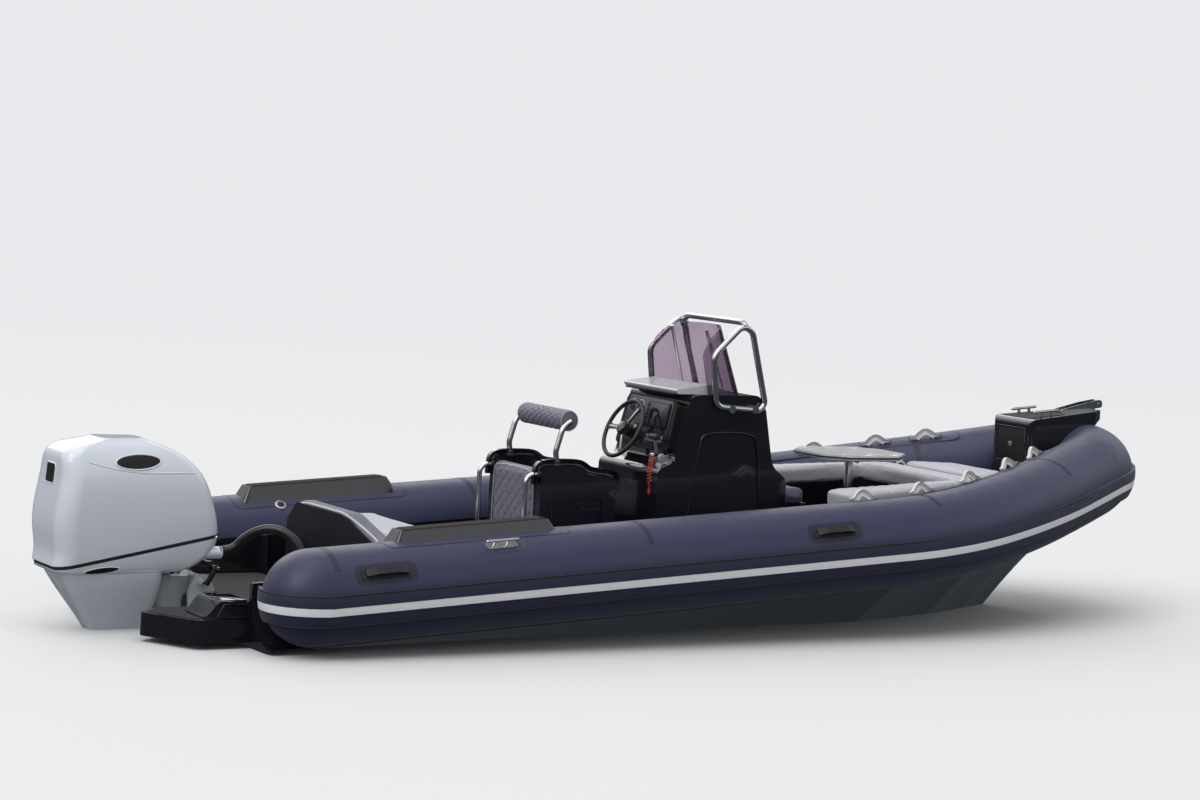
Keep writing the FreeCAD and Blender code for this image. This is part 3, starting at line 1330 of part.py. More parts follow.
# Midsection from the cowl down to the anti-ventilation plate, with the steering yokes.
legSections = (
    # z, aft x, front x, half width, corner
    (dim.cowlFoot - dim.seatGap, -868, -262, 205, 80),
    (220, -800, -262, 162, 65),
    (100, -718, -290, 108, 48),
    (0, -655, -325, 74, 38),
    (dim.ventPlateZ, -620, -345, 45, 25),
)
leg = Part.makeLoft([
    outlineEdges(rect(aft, front, -half, half, corner), FreeCAD.Placement(V(0, 0, z), FreeCAD.Rotation()))
    for z, aft, front, half, corner in legSections], True, False)
yokes = []
for foot, tall in ((dim.steerTubeTop + dim.runGap,
    dim.cowlFoot - dim.seatGap - dim.steerTubeTop - dim.runGap),
                   (dim.steerTubeFoot - dim.runGap - 24, 24)):
    yokes.append(planPrism(rect(-360, dim.steerX + 40, -44, 44, 38), foot, tall))
pin = Part.makeCylinder(dim.steerPinRadius, dim.steerTubeTop - dim.steerTubeFoot + 30,
                        V(dim.steerX, 0, dim.steerTubeFoot - 15))
feature("midsection", leg.multiFuse(yokes + [pin]).removeSplitter())

# Gearcase: strut, torpedo, skeg and the plate above the propeller, in one casting.
ventPlate = planPrism(((-880, -115, 60), (-330, -70, 50), (-330, 70, 50), (-880, 115, 60)),
    dim.ventPlateZ - 12, 12 - dim.seatGap)
strut = Part.makeLoft([
    outlineEdges(rect(-625, -335, -46, 46, 25),
    FreeCAD.Placement(V(0, 0, dim.ventPlateZ - dim.seatGap), FreeCAD.Rotation())),
    outlineEdges(rect(-640, -350, -24, 24, 18),
    FreeCAD.Placement(V(0, 0, dim.propZ + 40), FreeCAD.Rotation()))], True, True)
gearAft = dim.propX + dim.propLong / 2 + dim.runGap
torpedoProfile = ((0, gearAft, 0), (dim.propHub - 2, gearAft, 6), (dim.gearRadius, gearAft + 200, 400),
                  (dim.gearRadius, -400, 120), (22, -262, 20), (0, -262, 0))
torpedo = Part.Face(outlineEdges(torpedoProfile)).revolve(V(0, 0, 0), V(0, 1, 0), 360)
torpedo.Placement = FreeCAD.Placement(V(0, 0, dim.propZ), FreeCAD.Rotation(V(0, 0, 1), -90))
skeg = sidePrism(((-470, dim.propZ, 0), (-640, dim.propZ, 0), (-700, dim.propZ - 235, 30),
    (-610, dim.propZ - 240, 30)), -7, 14)
propShaft = rod(V(gearAft + 40, 0, dim.propZ), V(dim.propX - dim.propLong / 2 - 14, 0, dim.propZ), 12)
feature("gearcase", torpedo.multiFuse([strut, ventPlate, skeg, propShaft]).removeSplitter())

# Propeller: three twisted blades on a hub.
hub = Part.makeCone(dim.propHub - 6, dim.propHub, dim.propLong, V(dim.propX - dim.propLong / 2, 0, 0),
    V(1, 0, 0))
bladeRings = []
for radius, chord, pitchDeg, thick in ((30, 96, 58, 12), (95, 128, 44, 9), (150, 118, 34, 6),
        (dim.propRadius - 2, 50, 28, 3)):
    ring = Part.makePolygon([V(-chord / 2, 0, 0), V(0, thick / 2, 0), V(chord / 2, 0, 0),
        V(0, -thick / 2, 0), V(-chord / 2, 0, 0)])
    ring.rotate(V(0, 0, 0), V(0, 0, 1), 90 - pitchDeg)
    ring.translate(V(0, 0, radius))
    bladeRings.append(ring)
blade = Part.makeLoft(bladeRings, True, True)
blades = []
for step in range(3):
    turned = blade.copy()
    turned.rotate(V(0, 0, 0), V(1, 0, 0), 120 * step)
    turned.translate(V(dim.propX, 0, 0))
    blades.append(turned)
propeller = hub.multiFuse(blades).cut(bore(V(dim.propX, 0, 0), V(1, 0, 0), 12 + dim.seatGap))
propeller.translate(V(0, 0, dim.propZ))
feature("propeller", propeller)

# Rigging hose from a gland on the aft deck over to the cowl's front.
hosePoints = (
    V(470, -470, dim.aftDeckHeight + dim.aftPadThick + dim.hoseGlandTall + 1), V(470, -470, 350),
    V(462, -445, 490),
    V(400, -375, 580), V(310, -290, 600), V(220, -205, 545), V(150, dim.hoseY, dim.hoseZ),
    V(2, dim.hoseY, dim.hoseZ),
)
hoseRadii = (180, 170, 170, 200, 200, 100)
feature("rigging_hose", pipe(pathThrough(hosePoints, hoseRadii), dim.hoseRadius))
gland = Part.makeCone(dim.hoseGland, dim.hoseGland - 12, dim.hoseGlandTall,
    V(470, -470, dim.aftDeckHeight + dim.aftPadThick))
feature("hose_gland", gland)


# Write every sub-part under its own name, after checking that each one built.
doc.recompute()
for obj in doc.Objects:
    if "Invalid" in obj.State or "Error" in obj.State:
        raise ValueError("failed: " + obj.Name)
os.makedirs("parts", exist_ok=True)
for name, obj in nodeObjects:
    shape = obj.Shape
    if shape.isNull() or not shape.isValid() or not shape.Solids:
        raise ValueError("bad shape: " + name)
    shape.exportStep("parts/" + name + ".step")
print("wrote %d sub-parts" % len(nodeObjects))
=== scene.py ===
import json
import math

import bmesh
import bpy
from mathutils import Matrix, Vector
from mathutils.bvhtree import BVHTree


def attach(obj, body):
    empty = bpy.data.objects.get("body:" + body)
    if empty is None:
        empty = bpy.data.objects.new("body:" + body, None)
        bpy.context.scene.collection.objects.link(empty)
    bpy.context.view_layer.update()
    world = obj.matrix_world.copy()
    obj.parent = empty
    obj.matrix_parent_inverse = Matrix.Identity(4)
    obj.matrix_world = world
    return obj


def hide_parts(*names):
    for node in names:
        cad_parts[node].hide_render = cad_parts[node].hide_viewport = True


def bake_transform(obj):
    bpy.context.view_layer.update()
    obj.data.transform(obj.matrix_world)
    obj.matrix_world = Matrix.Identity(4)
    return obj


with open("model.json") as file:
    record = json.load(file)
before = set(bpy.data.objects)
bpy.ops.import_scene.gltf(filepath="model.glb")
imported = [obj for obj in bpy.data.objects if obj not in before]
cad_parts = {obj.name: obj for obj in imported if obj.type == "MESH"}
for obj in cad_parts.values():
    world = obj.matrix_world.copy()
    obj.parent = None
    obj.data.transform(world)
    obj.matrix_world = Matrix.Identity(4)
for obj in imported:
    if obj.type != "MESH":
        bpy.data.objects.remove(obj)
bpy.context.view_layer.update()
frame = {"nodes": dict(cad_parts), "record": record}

scene = bpy.context.scene
moved = Matrix.Translation

# ---- camera, floor and light ----
view = {"lens": 93.75, "at": (-7.0051, -16.5437, 2.7631), "heading": 30.203, "pitch": 4.281, "roll": 3.231}
studio = {"floorHalf": 900.0, "floorPale": 0.67, "floorBounce": 0.22,
          "mirrored": (0.055, 0.065, 0.075), "skyTone": (0.81, 0.82, 0.84), "skyOnBoat": 0.75, "fade": (9.0, 34.0),
          "shore": (0.06, 0.45, 0.12, 1.2), "zenith": (0.40, 0.82, 1.0, 0.2)}

heading, pitch, roll = (math.radians(view[part]) for part in ("heading", "pitch", "roll"))
forward = Vector((math.sin(heading) * math.cos(pitch), math.cos(heading) * math.cos(pitch), -math.sin(pitch)))
level = Vector((math.cos(heading), -math.sin(heading), 0))
upright = level.cross(forward)
right = level * math.cos(roll) + upright * math.sin(roll)
top = upright * math.cos(roll) - level * math.sin(roll)
cameraData = bpy.data.cameras.new("camera")
cameraData.lens = view["lens"]
cameraData.sensor_width = 36
cameraData.sensor_fit = "HORIZONTAL"
cameraData.clip_end = 3000
camera = bpy.data.objects.new("camera", cameraData)
cameraTurn = Matrix((right, top, -forward)).transposed().to_4x4()
camera.matrix_world = moved(view["at"]) @ cameraTurn
scene.collection.objects.link(camera)
scene.camera = camera
scene.view_settings.view_transform = "Standard"


def meshFrom(bm, name):
    mesh = bpy.data.meshes.new(name)
    bm.to_mesh(mesh)
    bm.free()
    return mesh


def addNode(tree, kind, inputs=None, **settings):
    # a shader node with its settings and the values at its inputs
    node = tree.nodes.new("ShaderNode" + kind)
    for part, value in settings.items():
        setattr(node, part, value)
    for part, value in (inputs or {}).items():
        node.inputs[part].default_value = value
    return node


def spanOf(*values):
    return dict(zip(("From Min", "From Max", "To Min", "To Max"), values))


def timesNode(tree, first, second):
    product = addNode(tree, "Math", operation="MULTIPLY")
    tree.links.new(first, product.inputs[0])
    tree.links.new(second, product.inputs[1])
    return product.outputs[0]


def paleEverywhere(tree, shading):
    # the boat mirrors dim water, its clear screen shows the pale backdrop, and far off the floor fades into it
    path = addNode(tree, "LightPath")
    far = addNode(tree, "VectorMath", operation="LENGTH")
    tree.links.new(addNode(tree, "TexCoord").outputs["Object"], far.inputs[0])
    fade = addNode(tree, "MapRange", spanOf(*studio["fade"]), interpolation_type="SMOOTHSTEP")
    tree.links.new(far.outputs["Value"], fade.inputs["Value"])
    farSeen = timesNode(tree, fade.outputs[0], path.outputs["Is Camera Ray"])
    for weight, tone in ((farSeen, studio["skyTone"]), (path.outputs["Is Glossy Ray"], studio["mirrored"]),
                         (path.outputs["Is Transmission Ray"], studio["skyTone"])):
        glow = addNode(tree, "Emission", {"Color": (*tone, 1)})
        mix = addNode(tree, "MixShader")
        for index, socket in enumerate((weight, shading, glow.outputs[0])):
            tree.links.new(socket, mix.inputs[index])
        shading = mix.outputs[0]
    return shading


floorBm = bmesh.new()
bmesh.ops.create_grid(floorBm, x_segments=1, y_segments=1, size=studio["floorHalf"])
floor = bpy.data.objects.new("floor", meshFrom(floorBm, "floor"))
scene.collection.objects.link(floor)
floorLook = bpy.data.materials.new("floor")
floorLook.use_nodes = True
floorTree = floorLook.node_tree
floorShader = floorTree.nodes["Principled BSDF"]
floorPale = addNode(floorTree, "MapRange", {"To Min": studio["floorBounce"], "To Max": studio["floorPale"]})
floorTree.links.new(addNode(floorTree, "LightPath").outputs["Is Camera Ray"], floorPale.inputs["Value"])
floorTree.links.new(floorPale.outputs[0], floorShader.inputs["Base Color"])
floorShader.inputs["Roughness"].default_value = 0.9
floorTree.links.new(paleEverywhere(floorTree, floorShader.outputs[0]), floorTree.nodes["Material Output"].inputs[0])
floor.data.materials.append(floorLook)

world = bpy.data.worlds.new("sky")
scene.world = world
world.use_nodes = True
skyTree = world.node_tree
skyGlow = skyTree.nodes["Background"]
skyGlow.inputs["Color"].default_value = (*studio["skyTone"], 1)
skyPath = addNode(skyTree, "LightPath")
skyStrength = addNode(skyTree, "MapRange", {"To Max": 1.0})
skyTree.links.new(skyPath.outputs["Is Camera Ray"], skyStrength.inputs["Value"])
# gloss shows a dim shore low down, a bright sky above it and a deeper one overhead
skyHeight = addNode(skyTree, "SeparateXYZ")
skyTree.links.new(addNode(skyTree, "TexCoord").outputs["Generated"], skyHeight.inputs[0])
shore = addNode(skyTree, "MapRange", spanOf(*studio["shore"]), interpolation_type="SMOOTHSTEP")
zenith = addNode(skyTree, "MapRange", spanOf(*studio["zenith"]))
for band in (shore, zenith):
    skyTree.links.new(skyHeight.outputs["Z"], band.inputs["Value"])
glossSky = addNode(skyTree, "MapRange", {"To Min": studio["skyOnBoat"]})
skyTree.links.new(skyPath.outputs["Is Glossy Ray"], glossSky.inputs["Value"])
skyTree.links.new(timesNode(skyTree, shore.outputs[0], zenith.outputs[0]), glossSky.inputs["To Max"])
skyTree.links.new(glossSky.outputs[0], skyStrength.inputs["To Min"])
skyTree.links.new(skyStrength.outputs[0], skyGlow.inputs["Strength"])

lamps = (
    # name, the way it shines, watts, how wide its sun looks in degrees
    ("overhead", (0.15, 0.1, -1.0), 1.15, 60),
    ("sternKey", (0.75, 0.25, -0.75), 0.75, 35),
    ("farSide", (-0.1, -0.85, -0.6), 0.65, 50),
)
for name, way, watts, wide in lamps:
    lampData = bpy.data.lights.new(name, "SUN")
    lampData.energy = watts
    lampData.angle = math.radians(wide)
    lamp = bpy.data.objects.new(name, lampData)
    lamp.location = (0, 0, 8)
    lamp.rotation_euler = Vector(way).to_track_quat("-Z", "Y").to_euler()
    scene.collection.objects.link(lamp)
print("camera, floor and light")

# ---- finishes ----
finishes = {
    # tone, second tone, patches, roughness and its spread, grain kind, size and depth, and what else it has
    "tube_fabric": ((0.024, 0.027, 0.078), (0.02, 0.022, 0.066), 2.2, 0.43, 0.1,
                    "weave", 0.0012, 0.00012, {"sheen": 0.12}),
    "strake_fabric": ((0.022, 0.024, 0.062), (0.018, 0.02, 0.052), 2.6, 0.5, 0.12,
                      "weave", 0.0012, 0.0001, {"sheen": 0.15}),
    "strake_rubber": ((0.012, 0.012, 0.015), (0.02, 0.02, 0.024), 5, 0.5, 0.12, "noise", 0.003, 0.0001),
    "stripe_white": ((0.9, 0.91, 0.93), (0.84, 0.85, 0.87), 3, 0.45, 0.1, "noise", 0.004, 0.0001),
    "gelcoat_dark": ((0.008, 0.008, 0.012), (0.011, 0.011, 0.016), 1.5, 0.13, 0.07,
                     "noise", 0.03, 0.00012, {"coat": 0.8}),
    "deck_pad": ((0.04, 0.038, 0.033), (0.03, 0.029, 0.026), 4, 0.82, 0.1, "ribs", 0.014, 0.0009),
    "webbing": ((0.72, 0.71, 0.68), (0.6, 0.59, 0.57), 14, 0.75, 0.1, "weave", 0.003, 0.0004, {"sheen": 0.3}),
    "cushion_light": ((0.46, 0.46, 0.5), (0.4, 0.4, 0.44), 3, 0.5, 0.14, "leather", 0.0035, 0.0003, {"sheen": 0.1}),
    "cushion_dark": ((0.075, 0.078, 0.12), (0.06, 0.063, 0.098), 3, 0.47, 0.14,
                     "leather", 0.0035, 0.0003, {"sheen": 0.15}),
    "panel_dark": ((0.01, 0.01, 0.014), (0.015, 0.015, 0.019), 3, 0.36, 0.12, "noise", 0.002, 0.00025),
    "stainless": ((0.74, 0.74, 0.73), (0.66, 0.66, 0.66), 9, 0.14, 0.1, "noise", 0.02, 0.00003, {"metallic": 1.0}),
    "console_black": ((0.007, 0.007, 0.009), (0.01, 0.01, 0.013), 1.6, 0.1, 0.06,
                      "noise", 0.035, 0.00015, {"coat": 0.8}),
    "dash_black": ((0.006, 0.006, 0.009), (0.01, 0.01, 0.013), 4, 0.2, 0.1, "noise", 0.004, 0.0001),
    "hood_light": ((0.58, 0.59, 0.62), (0.53, 0.54, 0.57), 3, 0.22, 0.08, "noise", 0.03, 0.0001, {"coat": 0.5}),
    "acrylic": ((0.7, 0.63, 0.7), (0.67, 0.6, 0.67), 2, 0.03, 0.02, "noise", 0.08, 0.0001, {"clear": True}),
    "wheel_black": ((0.018, 0.018, 0.02), (0.026, 0.026, 0.028), 8, 0.42, 0.1, "leather", 0.003, 0.0002),
    "table_white": ((0.74, 0.75, 0.75), (0.72, 0.73, 0.73), 3, 0.2, 0.08, "noise", 0.02, 0.0001, {"coat": 0.4}),
    # its blue cast is painted sky light; the paint itself is white
    "engine_white": ((0.72, 0.76, 0.83), (0.69, 0.73, 0.8), 1.6, 0.2, 0.08, "noise", 0.012, 0.00006, {"coat": 0.7}),
    "engine_grey": ((0.7, 0.74, 0.81), (0.67, 0.71, 0.78), 2.5, 0.26, 0.06, "noise", 0.01, 0.0001, {"coat": 0.4}),
    "bracket_paint": ((0.55, 0.57, 0.6), (0.42, 0.44, 0.46), 8, 0.36, 0.14, "noise", 0.006, 0.0003),
    "engine_block": ((0.12, 0.12, 0.13), (0.09, 0.09, 0.1), 9, 0.6, 0.15, "noise", 0.004, 0.0006, {"metallic": 0.6}),
    "prop_steel": ((0.6, 0.6, 0.6), (0.5, 0.5, 0.5), 9, 0.25, 0.12, "noise", 0.006, 0.00008, {"metallic": 1.0}),
    "hose_black": ((0.011, 0.011, 0.012), (0.018, 0.018, 0.02), 12, 0.3, 0.12, "noise", 0.004, 0.00015),
    "line_red": ((0.6, 0.02, 0.012), (0.5, 0.02, 0.012), 30, 0.4, 0.1, "noise", 0.002, 0.0001),
    "seam_navy": ((0.014, 0.015, 0.042), (0.011, 0.012, 0.034), 4, 0.46, 0.1, "weave", 0.0012, 0.0001),
    # near-black: painted shade in the cowl openings and slots, and the bow box's recessed panel
    "gap_black": ((0.004, 0.004, 0.005), (0.007, 0.007, 0.008), 6, 0.6, 0.2, "noise", 0.004, 0.0001),
    "quilt_dark": ((0.15, 0.15, 0.195), (0.125, 0.125, 0.165), 5, 0.44, 0.14,
                   "leather", 0.003, 0.00025, {"sheen": 0.2}),
    "silver_plastic": ((0.5, 0.51, 0.53), (0.42, 0.43, 0.45), 8, 0.28, 0.1,
                       "noise", 0.01, 0.00005, {"metallic": 0.5}),
    "deck_dark": ((0.03, 0.031, 0.036), (0.042, 0.043, 0.048), 7, 0.85, 0.1, "noise", 0.0025, 0.0006),
    "line_pale": ((0.46, 0.47, 0.5), (0.38, 0.39, 0.42), 12, 0.4, 0.1, "noise", 0.003, 0.00005),
    "screen_glass": ((0.012, 0.014, 0.02), (0.018, 0.02, 0.028), 6, 0.06, 0.04,
                     "noise", 0.05, 0.00003, {"coat": 0.6}),
}


def addTexture(tree, where, kind, inputs, **settings):
    texture = addNode(tree, kind, inputs, **settings)
    tree.links.new(where, texture.inputs["Vector"])
    return texture


def grainHeight(tree, where, kind, size):
    if kind == "noise":
        return addTexture(tree, where, "TexNoise", {"Scale": 1 / size, "Detail": 3}).outputs[0]
    if kind == "leather":
        grain = addTexture(tree, where, "TexVoronoi", {"Scale": 1 / size}, feature="DISTANCE_TO_EDGE")
        soft = addNode(tree, "MapRange", {"From Max": 0.25})
        tree.links.new(grain.outputs["Distance"], soft.inputs["Value"])
        return soft.outputs[0]
    ways, distortion = (("X", "Y", "Z"), 0.4) if kind == "weave" else (("Y",), 0.0)
    values = {"Scale": 0.3142 / size, "Distortion": distortion}  # one band to each size
    total = None
    for way in ways:
        band = addTexture(tree, where, "TexWave", values, bands_direction=way).outputs["Fac"]
        total = band if total is None else timesNode(tree, total, band)
    return total


def makeFinish(name, spec):
    tone, second, patch, rough, spread, grain, size, depth, *more = spec
    more = more[0] if more else {}
    look = bpy.data.materials.new(name)
    look.use_nodes = True
    tree = look.node_tree
    shader = tree.nodes["Principled BSDF"]
    where = addNode(tree, "TexCoord").outputs["Object"]
    patches = addTexture(tree, where, "TexNoise", {"Scale": patch, "Detail": 4})
    tones = addNode(tree, "Mix", {"A": (*tone, 1), "B": (*second, 1)}, data_type="RGBA")
    scuffs = addTexture(tree, where, "TexNoise", {"Scale": patch * 6, "Detail": 5})
    gloss = addNode(tree, "MapRange", spanOf(0.3, 0.7, max(rough - spread / 2, 0.02), rough + spread / 2))
    bump = addNode(tree, "Bump", {"Distance": depth})
    for source, target in ((patches.outputs[0], tones.inputs["Factor"]),
                           (tones.outputs["Result"], shader.inputs["Base Color"]),
                           (scuffs.outputs[0], gloss.inputs["Value"]), (gloss.outputs[0], shader.inputs["Roughness"]),
                           (grainHeight(tree, where, grain, size), bump.inputs["Height"]),
                           (bump.outputs[0], shader.inputs["Normal"])):
        tree.links.new(source, target)
    values = {"Metallic": more.get("metallic", 0), "Coat Weight": more.get("coat", 0), "Coat Roughness": 0.04,
              "Sheen Weight": more.get("sheen", 0), "Sheen Roughness": 0.5}
    if "clear" in more:
        values |= {"Transmission Weight": 1.0, "IOR": 1.05, "Coat Weight": 0.6}
    for part, value in values.items():
        shader.inputs[part].default_value = value
    return look


looks = {name: makeFinish(name, spec) for name, spec in finishes.items()}
for part in frame["record"]["subparts"]:
    node = frame["nodes"][part["node"]]
    node.data.materials.clear()
    node.data.materials.append(looks[part["material_slot"]])
print("finishes on", len(frame["nodes"]), "nodes")


# ---- shared ways of making a piece ----
def addPiece(name, bm, body, slotName, look=None, angle=35, replaced=(), mesh=None):
    if mesh is None:
        bmesh.ops.recalc_face_normals(bm, faces=bm.faces)
        mesh = meshFrom(bm, name)
    mesh.shade_smooth()
    mesh.set_sharp_from_angle(angle=math.radians(angle))
    mesh.materials.clear()
    mesh.materials.append(looks[look or slotName])
    obj = bpy.data.objects.new(name, mesh)
    scene.collection.objects.link(obj)
    if body:
        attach(obj, body)
    if replaced:
        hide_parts(*replaced)
    return obj


def turnedBy(degrees, axis):
    return Matrix.Rotation(math.radians(degrees), 4, axis)


acrossY = turnedBy(-90, "X")  # stands a drum across the boat


def soften(bm, edges, verts, soft, steps):
    # rounds the edges, and gives back every vert of the piece that is there after it
    rounded = bmesh.ops.bevel(bm, geom=edges, offset=soft, offset_type="OFFSET", segments=steps, profile=0.5,
                              affect="EDGES", material=-1, clamp_overlap=True)
    return list({vert for face in rounded["faces"] for vert in face.verts} | {v for v in verts if v.is_valid})


def addBox(bm, low, high, soft=0.0, steps=2, turn=Matrix()):
    # a box between two corners, its edges rounded by soft, then turned
    verts = bmesh.ops.create_cube(bm, size=1)["verts"]
    bmesh.ops.scale(bm, vec=[b - a for a, b in zip(low, high)], verts=verts)
    bmesh.ops.translate(bm, vec=[(a + b) / 2 for a, b in zip(low, high)], verts=verts)
    if soft:
        verts = soften(bm, list({edge for vert in verts for edge in vert.link_edges}), verts, soft, steps)
    bmesh.ops.transform(bm, matrix=turn, verts=verts)


def addDrum(bm, radius, low, high, sides=32, soft=0.0, turn=Matrix()):
    # an upright drum from z low to z high, its rims rounded by soft
    verts = bmesh.ops.create_cone(bm, cap_ends=True, segments=sides, radius1=radius, radius2=radius,
                                  depth=high - low)["verts"]
    bmesh.ops.translate(bm, vec=(0, 0, (low + high) / 2), verts=verts)
    if soft:
        caps = [f for f in {f for v in verts for f in v.link_faces} if len(f.verts) == sides]
        verts = soften(bm, list({edge for face in caps for edge in face.edges}), verts, soft, 3)
    bmesh.ops.transform(bm, matrix=turn, verts=verts)


def addPlate(bm, points, low, high, soft=0.0, turn=Matrix()):
    # a flat plate with that outline in X and Y
    rim = [bm.verts.new((x, y, low)) for x, y in points]
    grown = bmesh.ops.extrude_face_region(bm, geom=[bm.faces.new(rim)])
    verts = [item for item in grown["geom"] if isinstance(item, bmesh.types.BMVert)]
    bmesh.ops.translate(bm, vec=(0, 0, high - low), verts=verts)
    verts = rim + verts
    if soft:
        edges = [e for e in {e for v in verts for e in v.link_edges} if abs(e.verts[0].co.z - e.verts[1].co.z) < 1e-6]
        verts = soften(bm, edges, verts, soft, 2)
    bmesh.ops.transform(bm, matrix=turn, verts=verts)
    return verts


def roundedOutline(left, right, low, high, radius, steps=6):
    points = []
    for x, y, start in ((right - radius, high - radius, 0), (left + radius, high - radius, 90),
                        (left + radius, low + radius, 180), (right - radius, low + radius, 270)):
        for step in range(steps + 1):
            turn = math.radians(start + 90 * step / steps)
            points.append((x + radius * math.cos(turn), y + radius * math.sin(turn)))
    return points


def centredOutline(long, wide, radius, at=(0, 0)):
    return roundedOutline(at[0] - long / 2, at[0] + long / 2, at[1] - wide / 2, at[1] + wide / 2, radius)


def circleLine(centre, radius, second, count):
    # a closed round line in the plane of X and a second axis
    turns = (2 * math.pi * step / count for step in range(count + 1))
    return [Vector(centre) + Vector((math.cos(turn), 0, 0)) * radius + Vector(second) * radius * math.sin(turn)
            for turn in turns]


def finalMesh(obj):
    # what the object's curve or modifiers make, as a mesh of its own
    return bpy.data.meshes.new_from_object(obj.evaluated_get(bpy.context.evaluated_depsgraph_get()))


def routePoints(points, steps=14):
    # points along the smooth line of a route, read from its own curve
    curve = bpy.data.curves.new("route", "CURVE")
    curve.dimensions = "3D"
    curve.resolution_u = steps
    spline = curve.splines.new("NURBS")
    spline.points.add(len(points) - 1)
    for slot, point in zip(spline.points, points):
        slot.co = (*point, 1)
    spline.order_u = 3
    spline.use_endpoint_u = True
    holder = bpy.data.objects.new("route", curve)
    scene.collection.objects.link(holder)
    line = finalMesh(holder)
    found = [vert.co.copy() for vert in line.vertices]
    bpy.data.objects.remove(holder)
    bpy.data.curves.remove(curve)
    bpy.data.meshes.remove(line)
    return found


def sweptMesh(name, points, radius, round8=8, flat=None):
    # a round bar that follows the points, with closed ends; flat gives a strap's thickness and width
    curve = bpy.data.curves.new(name, "CURVE")
    curve.dimensions = "3D"
    if flat:
        section = bpy.data.curves.new(name + "Section", "CURVE")
        rim = section.splines.new("POLY")
        wide, thick = flat[0] / 2, flat[1] / 2
        soft = thick * 0.6
        corners = [(wide - soft, thick), (wide, 0), (wide - soft, -thick), (-wide + soft, -thick), (-wide, 0),
                   (-wide + soft, thick)]
        rim.points.add(len(corners) - 1)
        for slot, corner in zip(rim.points, corners):
            slot.co = (*corner, 0, 1)
        rim.use_cyclic_u = True
        shape = bpy.data.objects.new(name + "Section", section)
        scene.collection.objects.link(shape)
        curve.bevel_mode = "OBJECT"
        curve.bevel_object = shape
    else:
        curve.bevel_depth = radius
        curve.bevel_resolution = round8
    curve.use_fill_caps = True
    spline = curve.splines.new("POLY")
    spline.points.add(len(points) - 1)
    for slot, point in zip(spline.points, points):
        slot.co = (*point, 1)
    holder = bpy.data.objects.new(name, curve)
    scene.collection.objects.link(holder)
    mesh = finalMesh(holder)
    bpy.data.objects.remove(holder)
    bpy.data.curves.remove(curve)
    if flat:
        bpy.data.objects.remove(shape)
        bpy.data.curves.remove(section)
    work = bmesh.new()
    work.from_mesh(mesh)
    bmesh.ops.remove_doubles(work, verts=work.verts, dist=1e-6)
    bmesh.ops.recalc_face_normals(work, faces=work.faces)
    work.to_mesh(mesh)
    work.free()
    return mesh


def joinMesh(bm, mesh):
    bm.from_mesh(mesh)
    bpy.data.meshes.remove(mesh)


def addSweep(bm, points, radius, **more):
    joinMesh(bm, sweptMesh("sweep", points, radius, **more))


def pathLength(points):
    return sum((b - a).length for a, b in zip(points, points[1:]))


# ---- rigging hose: from the gland on the aft deck, over the transom and into the cowl ----
hose = {"diameter": 0.054, "splitAt": 0.134, "route": (
    (0.470, -0.470, 0.219), (0.470, -0.470, 0.350), (0.462, -0.445, 0.490), (0.400, -0.375, 0.580),
    (0.310, -0.290, 0.600), (0.220, -0.205, 0.545), (0.150, -0.150, 0.440), (0.002, -0.150, 0.440))}
hoseLine = routePoints(hose["route"])
splitIndex = min(range(len(hoseLine)), key=lambda i: abs(hoseLine[i].x - hose["splitAt"]))
deckLine, bootLine = hoseLine[:splitIndex + 1], hoseLine[splitIndex:]
bootBm = bmesh.new()
addSweep(bootBm, bootLine, hose["diameter"] / 2 + 0.0025, round8=10)
for index in range(2, len(bootLine) - 1, 2):
    around = (bootLine[index + 1] - bootLine[index - 1]).to_track_quat("Z", "Y").to_matrix().to_4x4()
    addDrum(bootBm, hose["diameter"] / 2 + 0.0055, -0.004, 0.004, 32, 0.002, moved(bootLine[index]) @ around)
hoseBoot = addPiece("hoseBoot", bootBm, None, "hose_black")
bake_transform(hoseBoot)
hoseMesh = sweptMesh("hose", deckLine, hose["diameter"] / 2, round8=10)
hoseRun = addPiece("riggingHose", None, None, "hose_black", mesh=hoseMesh)
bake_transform(hoseRun)
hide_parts("rigging_hose")
print("rigging hose", round(pathLength(hoseLine), 3), "m")


def surfaceOf(*nodes):
    # the outside of some nodes, for laying a piece on it
    work = bmesh.new()
    for node in nodes:
        work.from_mesh(frame["nodes"][node].data)
    tree = BVHTree.FromBMesh(work)
    work.free()
    return tree


def facing(at, out, along):
    # Z out of the surface, X along it
    out, along = Vector(out).normalized(), Vector(along)
    along = (along - out * along.dot(out)).normalized()
    return moved(at) @ Matrix((along, out.cross(along), out)).transposed().to_4x4()


def layOn(bm, tree, place):
    # a flat piece is pressed onto the surface, and each point keeps its height over the plate
    out = place.to_3x3() @ Vector((0, 0, 1))
    for vert in bm.verts:
        start = place @ Vector((vert.co.x, vert.co.y, 0.3))
        hit = tree.ray_cast(start, -out)[0]
        vert.co = (hit if hit is not None else start - out * 0.3) + out * vert.co.z


def pointsOn(tree, place, points, lift):
    out = place.to_3x3() @ Vector((0, 0, 1))
    hits = (tree.ray_cast(place @ Vector((*point, 0.3)), -out)[0] for point in points)
    return [hit + out * lift for hit in hits if hit is not None]


def ovalPatch(bm, long, tall, thick, rings=5, sides=48):
    # a low oval plate with points inside it, so that it can follow a curved surface
    made = bmesh.ops.create_circle(bm, cap_ends=True, segments=sides, radius=1)
    middle = list({face for vert in made["verts"] for face in vert.link_faces})
    rim = made["verts"][:]
    for ring in range(rings):
        bmesh.ops.inset_region(bm, faces=middle, thickness=0.17, use_even_offset=False)
    bmesh.ops.scale(bm, vec=(long / 2, tall / 2, 1), verts=bm.verts)
    for vert in bm.verts:
        vert.co.z = -0.004 if vert in rim else thick


